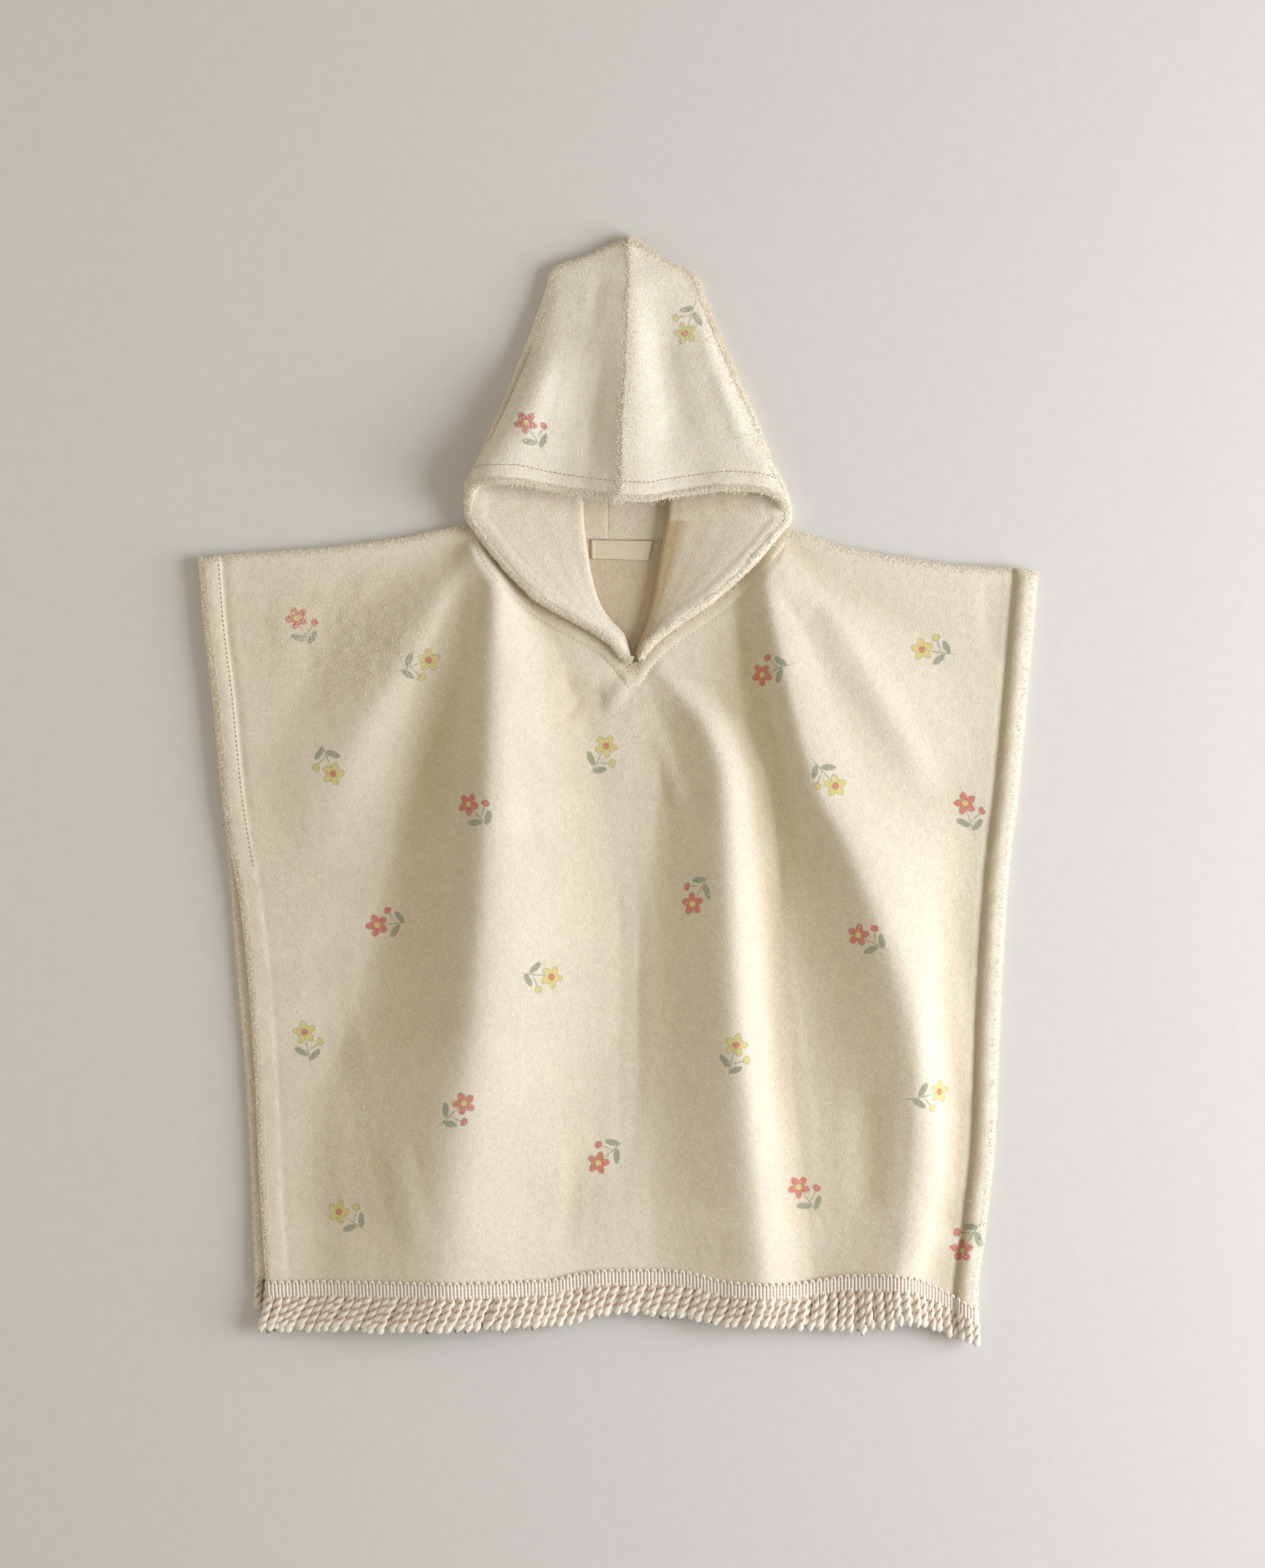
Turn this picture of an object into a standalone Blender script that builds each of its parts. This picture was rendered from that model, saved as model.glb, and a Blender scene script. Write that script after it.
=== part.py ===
"""Child's hooded bath poncho in cotton terry, lying flat with its front up.

Metres, +Z up. The cloth lies on z = 0 with its hem towards -Y and its hood spread above the
neck towards +Y. Every panel is a wall of terry: a sheet of points that is thickened along its
normals. The origin is the middle of the poncho's outline, on the surface that it lies on.
"""

import math
from collections import namedtuple

import bpy
import numpy as np

# --- Cloth and sewing -------------------------------------------------------------------------
TERRY = 0.003                 # thickness of the looped cloth
SEAM_GAP = 0.0003             # between two pieces that are sewn or laid together
SLANT_GAP = SEAM_GAP * 1.4    # the same gap along a slanting seam
SIDE_HEM = (0.0, 0.003, 0.009, 0.0145, 0.017, 0.022)       # columns across a turned side hem
HEM_FOLD = SIDE_HEM[3]        # where the turned cloth ends
LEFT_ROLL = (-0.0006, 0.0012, 0.0020, 0.0010, -0.0007, 0.0)   # its relief on the left side
RIGHT_ROLL = (-0.0002, 0.0024, 0.0036, 0.0018, -0.0010, 0.0)  # the right one is rolled fuller
NECK_BAND = (0.0, 0.004, 0.010, 0.0125, 0.0165)            # rows below a shoulder or neck seam
NECK_RELIEF = (-0.0004, 0.0010, 0.0008, -0.0007, 0.0)
SHOULDER_RELIEF = (-0.0012, 0.0004, 0.0003, 0.0, 0.0)
NECK_REST_REACH = 0.012       # over which the front comes down from the neck seam
NECK_POINT_DROP = 0.0012      # of the front, below the ends of the hood's arms
MOUTH_HEM = (0.0, 0.0025, 0.008, 0.0145, 0.017)            # rows of the turned hem of the hood
MOUTH_RELIEF = (-0.0001, 0.0008, 0.0010, -0.0004, 0.0)
FRONT_REST = 0.0053           # underside of the front where it lies on the back
FRONT_REST_HEM = 0.0072       # the same over the fringe of the back
HEM_RISE_START = 0.060        # above the heading, where the front starts to rise over it
HEM_RISE = 0.025
HEM_SQUARING = 0.5            # share of its tilt that the hem's lower edge keeps
SHOULDER_COLUMNS = 7
BODY_ROWS = 19
BAND_SLOPE_LIMIT = 1.5
BACK_HEM = (0.0, 0.003, 0.0145, 0.017)                     # across a side hem of the back
BACK_HEM_RELIEF = (0.0012, 0.0016, 0.0016, 0.0)
BACK_SEAM = (0.0, 0.008, 0.012)                            # rows below its shoulder seams
BACK_SEAM_RELIEF = (0.002, 0.002, 0.0)                     # two layers, then one
BACK_SHOULDER_COLUMNS = 2
BACK_BODY_ROWS = 8
BACK_LIFT_START = 0.008       # above its heading, where the back starts to lift over it
BACK_LIFT_STEP = 0.0008       # the lift is done this far above the heading
SHARP_ANGLE = 50              # degrees between faces that are shaded apart

# --- Fringe ----------------------------------------------------------------------------------
HEADING = 0.011               # height of the woven heading
HEADING_THICK = 0.0018
HEADING_GAP = 0.0009          # between the heading and the panel's looped face
STRANDS = 80                  # twisted loops on each hem
STRAND_SHARE = 0.80           # of the pitch, the rest is the gap to the next strand
STRAND_THICK = 0.0040
STRAND_CLEAR = 0.0004         # from the floor and from the strands below
BACK_STRAND_TOP = 0.0046
STRAND_DROOP = 0.35           # of a fold's height that a strand loses at its tip
STRAND_REACH = 0.020          # from its root to where the line of the tips is read

Ring = namedtuple("Ring", "share across thick")
Edge = namedtuple("Edge", "y x")
Line = namedtuple("Line", "x y")
Crest = namedtuple("Crest", "y x height left right")
Arm = namedtuple("Arm", "seam_x seam_y rim_x rim_y rim_z fold_x fold_y")
Level = namedtuple("Level", "y seam fold inner rim corner ridge pleat")
Lean = namedtuple("Lean", "x lean")

# --- Outline of the panels --------------------------------------------------------------------
FRONT_LEFT = [
    Edge(0.1771, -0.3157),
    Edge(0.1320, -0.3124),
    Edge(0.0770, -0.3058),
    Edge(0.0000, -0.2981),
    Edge(-0.0330, -0.2932),
    Edge(-0.0760, -0.2855),
    Edge(-0.1436, -0.2780),
    Edge(-0.2173, -0.2731),
    Edge(-0.2992, -0.2695),
    Edge(-0.3784, -0.2640),
]
FRONT_RIGHT = [
    Edge(0.1661, 0.3152),
    Edge(0.1018, 0.3097),
    Edge(0.0050, 0.3009),
    Edge(-0.0605, 0.2932),
    Edge(-0.1595, 0.2871),
    Edge(-0.2607, 0.2833),
    Edge(-0.3278, 0.2761),
    Edge(-0.3784, 0.2701),
    Edge(-0.3960, 0.2701),
]
BACK_LEFT = [
    Edge(0.1771, -0.3157),
    Edge(0.1320, -0.3124),
    Edge(0.0770, -0.3058),
    Edge(0.0000, -0.2987),
    Edge(-0.0330, -0.2954),
    Edge(-0.1436, -0.2866),
    Edge(-0.2173, -0.2805),
    Edge(-0.2992, -0.2764),
    Edge(-0.3685, -0.2734),
]
BACK_RIGHT = [
    Edge(0.1661, 0.3140),
    Edge(0.1018, 0.3085),
    Edge(0.0050, 0.2998),
    Edge(-0.0605, 0.2915),
    Edge(-0.1595, 0.2849),
    Edge(-0.2607, 0.2805),
    Edge(-0.3278, 0.2728),
    Edge(-0.3905, 0.2673),
]
SHOULDERS = [
    Line(-0.3157, 0.1771),
    Line(-0.2964, 0.1799),
    Line(-0.2305, 0.1848),
    Line(-0.1645, 0.1930),
    Line(-0.1100, 0.2024),
    Line(0.1260, 0.1997),
    Line(0.1656, 0.1876),
    Line(0.2316, 0.1755),
    Line(0.2646, 0.1716),
    Line(0.2976, 0.1705),
    Line(0.3152, 0.1661),
]
BACK_NECK = [
    Line(-0.1100, 0.2024),
    Line(-0.0760, 0.1945),
    Line(-0.0250, 0.1914),
    Line(0.0330, 0.1914),
    Line(0.0900, 0.1938),
    Line(0.1260, 0.1997),
]
FRONT_HEADING = [
    Line(-0.2640, -0.3674),
    Line(-0.2195, -0.3663),
    Line(-0.0820, -0.3658),
    Line(-0.0517, -0.3652),
    Line(-0.0341, -0.3614),
    Line(-0.0011, -0.3581),
    Line(0.0314, -0.3581),
    Line(0.0506, -0.3592),
    Line(0.0820, -0.3658),
    Line(0.1287, -0.3677),
    Line(0.1766, -0.3619),
    Line(0.2002, -0.3612),
    Line(0.2184, -0.3630),
    Line(0.2360, -0.3696),
    Line(0.2519, -0.3779),
    Line(0.2701, -0.3880),
]
FRONT_TIPS = [
    Line(-0.2690, -0.4032),
    Line(-0.1150, -0.4032),
    Line(-0.0402, -0.3993),
    Line(-0.0226, -0.3949),
    Line(0.0000, -0.3911),
    Line(0.0506, -0.3938),
    Line(0.0820, -0.3999),
    Line(0.1348, -0.4021),
    Line(0.1766, -0.4048),
    Line(0.2002, -0.4021),
    Line(0.2217, -0.3982),
    Line(0.2459, -0.4065),
    Line(0.2717, -0.4147),
]
BACK_HEADING = [
    Line(-0.2734, -0.3536),
    Line(-0.1000, -0.3560),
    Line(0.1000, -0.3640),
    Line(0.2250, -0.3660),
    Line(0.2673, -0.3780),
]
BACK_TIPS = [
    Line(-0.2760, -0.3892),
    Line(-0.1000, -0.3915),
    Line(0.0000, -0.3880),
    Line(0.1000, -0.3975),
    Line(0.2250, -0.4020),
    Line(0.2700, -0.4110),
]
FRONT_LEAN = [
    Lean(-0.2640, 0.14),
    Lean(-0.1800, 0.36),
    Lean(-0.0600, 0.38),
    Lean(0.0600, 0.22),
    Lean(0.1800, 0.10),
    Lean(0.2700, -0.05),
]
BACK_LEAN = [
    Lean(-0.2740, 0.10),
    Lean(0.2680, -0.05),
]
STRAND_RINGS = [              # along a strand, with shares of its full width and thickness
    Ring(0.35, 1.00, 1.00),
    Ring(1.00, 0.72, 0.75),
]

# --- Folds of the front panel, from the neck down to the hem ----------------------------------
CRESTS = {
    "shoulder_left": [
        Crest(0.1925, -0.1095, 0.000, 0.030, 0.020),
        Crest(0.1705, -0.1200, 0.005, 0.045, 0.025),
        Crest(0.1045, -0.1590, 0.010, 0.070, 0.050),
        Crest(0.0220, -0.2030, 0.008, 0.075, 0.060),
        Crest(-0.0605, -0.2250, 0.000, 0.070, 0.060),
    ],
    "left": [
        Crest(0.1980, -0.1050, 0.004, 0.020, 0.020),
        Crest(0.1507, -0.0924, 0.014, 0.034, 0.028),
        Crest(0.0869, -0.0924, 0.021, 0.060, 0.060),
        Crest(-0.0330, -0.0968, 0.027, 0.075, 0.092),
        Crest(-0.1650, -0.1045, 0.028, 0.084, 0.106),
        Crest(-0.3355, -0.1254, 0.019, 0.080, 0.104),
        Crest(-0.3850, -0.1304, 0.012, 0.080, 0.100),
    ],
    "middle": [
        Crest(0.0935, 0.0308, 0.001, 0.012, 0.020),
        Crest(0.0715, 0.0391, 0.006, 0.024, 0.030),
        Crest(0.0055, 0.0732, 0.018, 0.050, 0.034),
        Crest(-0.1584, 0.0880, 0.024, 0.074, 0.034),
        Crest(-0.3355, 0.1051, 0.017, 0.080, 0.036),
        Crest(-0.3850, 0.1095, 0.013, 0.080, 0.038),
    ],
    "right": [
        Crest(0.1925, 0.1080, 0.003, 0.016, 0.025),
        Crest(0.1502, 0.1130, 0.011, 0.026, 0.045),
        Crest(0.1018, 0.1232, 0.018, 0.034, 0.070),
        Crest(0.0050, 0.1507, 0.024, 0.050, 0.092),
        Crest(-0.0369, 0.1733, 0.026, 0.060, 0.088),
        Crest(-0.1634, 0.2178, 0.027, 0.080, 0.056),
        Crest(-0.2789, 0.2350, 0.020, 0.084, 0.038),
        Crest(-0.3850, 0.2080, 0.011, 0.060, 0.046),
    ],
    "shoulder_right": [
        Crest(0.1815, 0.1298, 0.000, 0.020, 0.035),
        Crest(0.1550, 0.1450, 0.005, 0.026, 0.045),
        Crest(0.1100, 0.1780, 0.008, 0.036, 0.060),
        Crest(0.0500, 0.2130, 0.006, 0.045, 0.060),
        Crest(-0.0055, 0.2371, 0.000, 0.045, 0.050),
    ],
}
SIDE_FADE = 0.050             # over which a fold dies away at a side hem
SHOULDER_FADE = 0.055
NECK_FADE = 0.024

# --- Hood ------------------------------------------------------------------------------------
# Its two arms run down the neckline. Each row is one section: the neck seam, the rim of the
# mouth and the inner fold between them.
ARM_LEFT = [
    Arm(-0.1100, 0.2024, -0.1122, 0.2101, 0.0210, -0.0259, 0.2035),
    Arm(-0.0974, 0.1826, -0.0946, 0.1854, 0.0200, -0.0237, 0.1859),
    Arm(-0.0803, 0.1628, -0.0776, 0.1656, 0.0190, -0.0209, 0.1683),
    Arm(-0.0600, 0.1447, -0.0578, 0.1474, 0.0180, -0.0171, 0.1529),
    Arm(-0.0391, 0.1326, -0.0374, 0.1358, 0.0170, -0.0127, 0.1419),
    Arm(-0.0198, 0.1221, -0.0181, 0.1254, 0.0155, -0.0061, 0.1320),
    Arm(-0.0050, 0.1117, -0.0028, 0.1144, 0.0140, 0.0044, 0.1205),
    Arm(0.0066, 0.0985, 0.0044, 0.1029, 0.0128, 0.0088, 0.1062),
]
ARM_RIGHT = [
    Arm(0.1260, 0.1997, 0.1268, 0.2079, 0.0210, 0.0358, 0.2046),
    Arm(0.1128, 0.1854, 0.1106, 0.1881, 0.0200, 0.0324, 0.1859),
    Arm(0.0941, 0.1656, 0.0919, 0.1683, 0.0190, 0.0297, 0.1683),
    Arm(0.0743, 0.1479, 0.0726, 0.1507, 0.0180, 0.0270, 0.1529),
    Arm(0.0550, 0.1342, 0.0534, 0.1370, 0.0170, 0.0242, 0.1397),
    Arm(0.0369, 0.1216, 0.0352, 0.1243, 0.0155, 0.0209, 0.1276),
    Arm(0.0242, 0.1100, 0.0220, 0.1128, 0.0140, 0.0165, 0.1166),
    Arm(0.0144, 0.0979, 0.0166, 0.1029, 0.0128, 0.0124, 0.1062),
]
HOOD_LEFT = [
    Edge(0.4175, 0.0035),
    Edge(0.4070, -0.0187),
    Edge(0.3938, -0.0512),
    Edge(0.3806, -0.0550),
    Edge(0.3520, -0.0649),
    Edge(0.3190, -0.0781),
    Edge(0.2750, -0.0963),
    Edge(0.2420, -0.1095),
    Edge(0.2310, -0.1144),
    Edge(0.2211, -0.1144),
]
HOOD_RIGHT = [
    Edge(0.4175, 0.0141),
    Edge(0.4042, 0.0330),
    Edge(0.3883, 0.0611),
    Edge(0.3746, 0.0655),
    Edge(0.3482, 0.0759),
    Edge(0.3185, 0.0891),
    Edge(0.2833, 0.1040),
    Edge(0.2503, 0.1155),
    Edge(0.2299, 0.1249),
    Edge(0.2178, 0.1282),
]
SEAM_TOP = [
    Edge(0.4180, 0.0088),
    Edge(0.3795, 0.0072),
    Edge(0.3245, 0.0044),
    Edge(0.2695, 0.0016),
    Edge(0.2338, 0.0006),
    Edge(0.2195, -0.0022),
]
SEAM_BOTTOM = [
    Edge(0.4180, 0.0088),
    Edge(0.3795, 0.0050),
    Edge(0.3245, 0.0000),
    Edge(0.2200, -0.0083),
    Edge(0.1914, -0.0083),
]
LIP = [
    Line(-0.1140, 0.2230),
    Line(-0.1095, 0.2277),
    Line(-0.1001, 0.2316),
    Line(-0.0787, 0.2316),
    Line(-0.0545, 0.2272),
    Line(-0.0286, 0.2228),
    Line(-0.0022, 0.2195),
    Line(0.0192, 0.2184),
    Line(0.0369, 0.2215),
    Line(0.0583, 0.2245),
    Line(0.0803, 0.2270),
    Line(0.1018, 0.2261),
    Line(0.1216, 0.2205),
    Line(0.1282, 0.2162),
]
LIP_CENTRE = -0.0022
MOUTH_CORNER = {-1: 0.2211, 1: 0.2150}
INNER_FOLD = {-1: -0.0275, 1: 0.0380}
# Heights of the middle of the cloth: neck layer, inner fold, inner face, rim, side, centre.
HOOD_LEVELS = [
    Level(0.4175, 0.0026, 0.0036, 0.0048, 0.0068, 0.0080, 0.0086, 0.00),
    Level(0.3938, 0.0028, 0.0039, 0.0053, 0.0078, 0.0092, 0.0150, 0.00),
    Level(0.3520, 0.0034, 0.0046, 0.0064, 0.0096, 0.0115, 0.0220, 0.00),
    Level(0.3190, 0.0042, 0.0054, 0.0076, 0.0118, 0.0145, 0.0270, 0.00),
    Level(0.2970, 0.0050, 0.0060, 0.0088, 0.0140, 0.0175, 0.0300, 0.10),
    Level(0.2750, 0.0056, 0.0062, 0.0098, 0.0165, 0.0210, 0.0330, 0.35),
    Level(0.2530, 0.0059, 0.0062, 0.0104, 0.0190, 0.0250, 0.0360, 0.70),
    Level(0.2360, 0.0059, 0.0062, 0.0106, 0.0205, 0.0280, 0.0375, 0.92),
    Level(0.2195, 0.0059, 0.0062, 0.0106, 0.0210, 0.0300, 0.0380, 1.00),
]
HOOD_ROWS = (0.4175, 0.4060, 0.3930, 0.3740, 0.3500, 0.3200, 0.2950, 0.2720)
FLOOR_LAYER = TERRY / 2
SIDE_BULGE = 0.005
BULGE_SHARE = 0.45            # most that a side bulges, of the width of its half
TOP_COLUMNS = 6
FLOOR_COLUMNS = 3
ARC_STEPS = 3
NECK_LAYER_COLUMNS = 2
ROOF_ROUNDNESS = 0.45
FACE_BOW = 0.8                # the inner face rises soonest by its fold
ARM_HEM_LIMIT = 1.25          # hem widths that an arm's face has, or its hem gets narrower
RIM_DROP = 0.0012             # the rim of an arm turns down over its last part
RIM_DROP_START = 0.9

# --- Neck label -------------------------------------------------------------------------------
LABEL_CORNERS = (
    Line(-0.0212, 0.1904),
    Line(0.0258, 0.1898),
    Line(0.0222, 0.1762),
    Line(-0.0208, 0.1778),
)
LABEL_THICK = 0.0009

COLOURS = {
    "terry": (0.86, 0.79, 0.66, 1.0),
    "cotton": (0.83, 0.70, 0.55, 1.0),
    "label": (0.88, 0.82, 0.70, 1.0),
}
ROUGHNESS = {"terry": 0.95, "cotton": 0.85, "label": 0.6}


def clear_scene():
    """Remove the objects that a new file starts with."""
    for thing in list(bpy.data.objects):
        bpy.data.objects.remove(thing)


def follow(rows, key, value, at):
    """Read one column of a table between its rows, on a smooth curve without overshoot."""
    rows = sorted(rows, key=lambda row: getattr(row, key))
    xs = [getattr(row, key) for row in rows]
    ys = [getattr(row, value) for row in rows]
    if at <= xs[0]:
        return ys[0]
    if at >= xs[-1]:
        return ys[-1]
    slopes = [(ys[i + 1] - ys[i]) / (xs[i + 1] - xs[i]) for i in range(len(xs) - 1)]
    tangents = [slopes[0]]
    for before, after in zip(slopes, slopes[1:]):
        same_way = before * after > 0
        tangents.append(2 * before * after / (before + after) if same_way else 0.0)
    tangents.append(slopes[-1])
    i = max(k for k in range(len(xs) - 1) if xs[k] <= at)
    span = xs[i + 1] - xs[i]
    t = (at - xs[i]) / span
    start = (1 + 2 * t) * (1 - t) ** 2 * ys[i] + t * (1 - t) ** 2 * span * tangents[i]
    end = t * t * (3 - 2 * t) * ys[i + 1] + t * t * (t - 1) * span * tangents[i + 1]
    return start + end


def ease(t):
    """Rise smoothly from 0 to 1."""
    t = min(max(t, 0.0), 1.0)
    return t * t * (3 - 2 * t)


def mix(a, b, t):
    """Go the share t of the way from a to b."""
    return a + (b - a) * t


def cloth_material(kind):
    """Give a piece its own plain cloth material."""
    material = bpy.data.materials.new(kind)
    material.use_nodes = True
    shader = material.node_tree.nodes["Principled BSDF"]
    shader.inputs["Base Color"].default_value = COLOURS[kind]
    shader.inputs["Roughness"].default_value = ROUGHNESS[kind]
    shader.inputs["Metallic"].default_value = 0.0
    return material


def add_piece(name, kind, vertices, faces):
    """Make one object from its points and faces."""
    mesh = bpy.data.meshes.new(name)
    mesh.from_pydata([tuple(v) for v in vertices], [], faces)
    mesh.update()
    mesh.shade_smooth()
    mesh.set_sharp_from_angle(angle=math.radians(SHARP_ANGLE))
    piece = bpy.data.objects.new(name, mesh)
    piece.data.materials.append(cloth_material(kind))
    bpy.context.collection.objects.link(piece)
    return piece


def grid_cells(rows, columns, keep=lambda row, column: True):
    """List the cells of a grid as corner indices, wound so that they face up."""
    cells = []
    for r in range(rows - 1):
        for c in range(columns - 1):
            if keep(r, c):
                corner = r * columns + c
                cells.append((corner, corner + columns, corner + columns + 1, corner + 1))
    return cells


def sheet_normals(points, cells):
    """Average the normals of the cells round each point of a sheet."""
    normals = np.zeros_like(points)
    for cell in cells:
        a, b, c, d = (points[i] for i in cell)
        normal = np.cross(c - a, d - b)
        for i in cell:
            normals[i] += normal
    lengths = np.linalg.norm(normals, axis=1)
    lengths[lengths == 0] = 1.0
    return normals / lengths[:, None]


def wall(name, kind, outside, inside, cells):
    """Join an outside and an inside sheet with the same cells into one closed wall."""
    used = sorted({i for cell in cells for i in cell})
    place = {old: new for new, old in enumerate(used)}
    count = len(used)
    vertices = [outside[i] for i in used] + [inside[i] for i in used]
    faces = []
    edges = {}
    for cell in cells:
        corners = [place[i] for i in cell]
        faces.append(corners)
        faces.append([i + count for i in reversed(corners)])
        for a, b in zip(corners, corners[1:] + corners[:1]):
            edges[(a, b)] = True
    for a, b in edges:
        if (b, a) not in edges:
            faces.append([b, a, a + count, b + count])
    return add_piece(name, kind, vertices, faces)


# --- Front and back panels --------------------------------------------------------------------
def side_profile(distance, relief):
    """Read the relief of a turned side hem at a distance from the edge."""
    return float(np.interp(distance, SIDE_HEM, relief))


def fold_height(x, y):
    """Add up the crests of the folds at a place on the front panel."""
    height = 0.0
    for rows in CRESTS.values():
        lift = follow(rows, "y", "height", y)
        off = x - follow(rows, "y", "x", y)
        width = follow(rows, "y", "left" if off < 0 else "right", y)
        if abs(off) < width:
            height += lift * 0.5 * (1 + math.cos(math.pi * off / width))
    return height


def panel_columns(tops, left, right, bottom):
    """Lead each column from its top point down to an evenly spaced place at the hem."""
    inner = len(tops) - 2 * len(SIDE_HEM)
    hem = SIDE_HEM[-1]

    def place(column, share, y):
        low, high = follow(left, "y", "x", y), follow(right, "y", "x", y)
        if column < len(SIDE_HEM):
            return low + SIDE_HEM[column]
        if column >= len(tops) - len(SIDE_HEM):
            return high - SIDE_HEM[len(tops) - 1 - column]
        top_x, top_y = tops[column]
        top_low, top_high = follow(left, "y", "x", top_y), follow(right, "y", "x", top_y)
        at_top = (top_x - top_low - hem) / (top_high - top_low - 2 * hem)
        at_hem = (column - len(SIDE_HEM) + 1) / (inner + 1)
        return mix(low + hem, high - hem, mix(at_top, at_hem, share))

    ends = []
    for column in range(len(tops)):
        x = place(column, 1.0, bottom[0].y)
        for _ in range(4):
            x = place(column, 1.0, follow(bottom, "x", "y", x))
        ends.append(follow(bottom, "x", "y", x))
    return place, ends


def shoulder_tops(corner, neck_corner, side, columns):
    """Space the top points of one shoulder, from the side hem in to the neck."""
    xs = [corner.x - side * step for step in SIDE_HEM]
    shares = [(i + 1) / (columns + 1) for i in range(columns)]
    xs += [mix(xs[-1], neck_corner, share) for share in shares]
    return [(x, follow(SHOULDERS, "x", "y", x)) for x in xs]


def band_scales(tops, neck):
    """Stretch the rows of the neck band where the neckline is steep."""
    scales = []
    for column in range(len(tops)):
        if column not in neck:
            scales.append(1.0)
            continue
        (x0, y0), (x1, y1) = tops[column - 1], tops[column + 1]
        scales.append(min(math.hypot(x1 - x0, y1 - y0) / abs(x1 - x0), BAND_SLOPE_LIMIT))
    return scales


def neck_edge():
    """Set the top points of the front along the neckline, a seam gap from the hood."""
    left = [np.array((row.seam_x, row.seam_y)) for row in ARM_LEFT]
    right = [np.array((row.seam_x, row.seam_y)) for row in ARM_RIGHT]
    middle = (left[-1] + right[-1]) / 2 - np.array((0.0, NECK_POINT_DROP))
    line = left + [middle] + right[::-1]
    moved = []
    for i, point in enumerate(line):
        before = line[max(i - 1, 0)]
        after = line[min(i + 1, len(line) - 1)]
        along = (after - before) / np.linalg.norm(after - before)
        moved.append(tuple(point + SLANT_GAP * np.array((along[1], -along[0]))))
    return moved


def front_sheet():
    """Lay out the points of the front panel: its underside and its thickness at each."""
    neck = neck_edge()
    left = shoulder_tops(FRONT_LEFT[0], neck[0][0], -1, SHOULDER_COLUMNS)
    right = shoulder_tops(FRONT_RIGHT[0], neck[-1][0], 1, SHOULDER_COLUMNS)
    tops = left + neck + right[::-1]
    neck_columns = range(len(left), len(left) + len(neck))
    hem_line = [Line(row.x, row.y - HEADING) for row in FRONT_HEADING]
    place, ends = panel_columns(tops, FRONT_LEFT, FRONT_RIGHT, hem_line)
    scales = band_scales(tops, neck_columns)
    rows = len(NECK_BAND) + BODY_ROWS + 2
    points = np.zeros((rows, len(tops), 3))
    thick = np.zeros((rows, len(tops)))
    for c, (top_x, top_y) in enumerate(tops):
        on_neck = c in neck_columns
        band = [top_y - step * scales[c] for step in NECK_BAND]
        heading_top = ends[c] + HEADING
        body = [mix(band[-1], heading_top, (i + 1) / (BODY_ROWS + 1)) for i in range(BODY_ROWS)]
        ys = band + body + [heading_top, ends[c]]
        for r, y in enumerate(ys):
            x = top_x if r == 0 else place(c, (top_y - y) / (top_y - ends[c]), y)
            points[r, c] = (x, y, front_underside(x, y, top_y - y, on_neck))
            thick[r, c] = TERRY + front_relief(r, x, y, on_neck)
    return points, thick


def front_underside(x, y, below, on_neck):
    """Height of the underside of the front above the surface that it lies on."""
    low, high = follow(FRONT_LEFT, "y", "x", y), follow(FRONT_RIGHT, "y", "x", y)
    side = min(x - low, high - x) - HEM_FOLD
    fade = ease(side / SIDE_FADE) * ease(below / (NECK_FADE if on_neck else SHOULDER_FADE))
    heading = follow(FRONT_HEADING, "x", "y", x)
    rest = mix(FRONT_REST, FRONT_REST_HEM, ease((heading + HEM_RISE_START - y) / HEM_RISE))
    neck_layer = HOOD_LEVELS[-1].seam - TERRY / 2
    if on_neck:
        rest = mix(neck_layer, rest, ease(below / NECK_REST_REACH))
    return rest + fade * fold_height(x, y)


def front_relief(row, x, y, on_neck):
    """Relief of the outer face of the front along its hems and seams."""
    low, high = follow(FRONT_LEFT, "y", "x", y), follow(FRONT_RIGHT, "y", "x", y)
    relief = side_profile(x - low, LEFT_ROLL) + side_profile(high - x, RIGHT_ROLL)
    if row < len(NECK_BAND):
        relief += (NECK_RELIEF if on_neck else SHOULDER_RELIEF)[row]
    return relief


def raise_sheet(points, thick):
    """Move each point of a panel out by its thickness, upright along the panel's edges."""
    rows, columns = thick.shape
    cells = grid_cells(rows, columns)
    flat = points.reshape(-1, 3)
    normals = sheet_normals(flat, cells).reshape(rows, columns, 3)
    normals[0] = (0, 0, 1)
    normals[-1, :, :2] *= HEM_SQUARING
    normals[:, 0] = (0, 0, 1)
    normals[:, -1] = (0, 0, 1)
    return points + normals * thick[..., None], cells


def build_front():
    """Front panel, and the rows of its outer face that carry the fringe."""
    points, thick = front_sheet()
    outer, cells = raise_sheet(points, thick)
    wall("front", "terry", outer.reshape(-1, 3), points.reshape(-1, 3), cells)
    return outer[-2], outer[-1]


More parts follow.
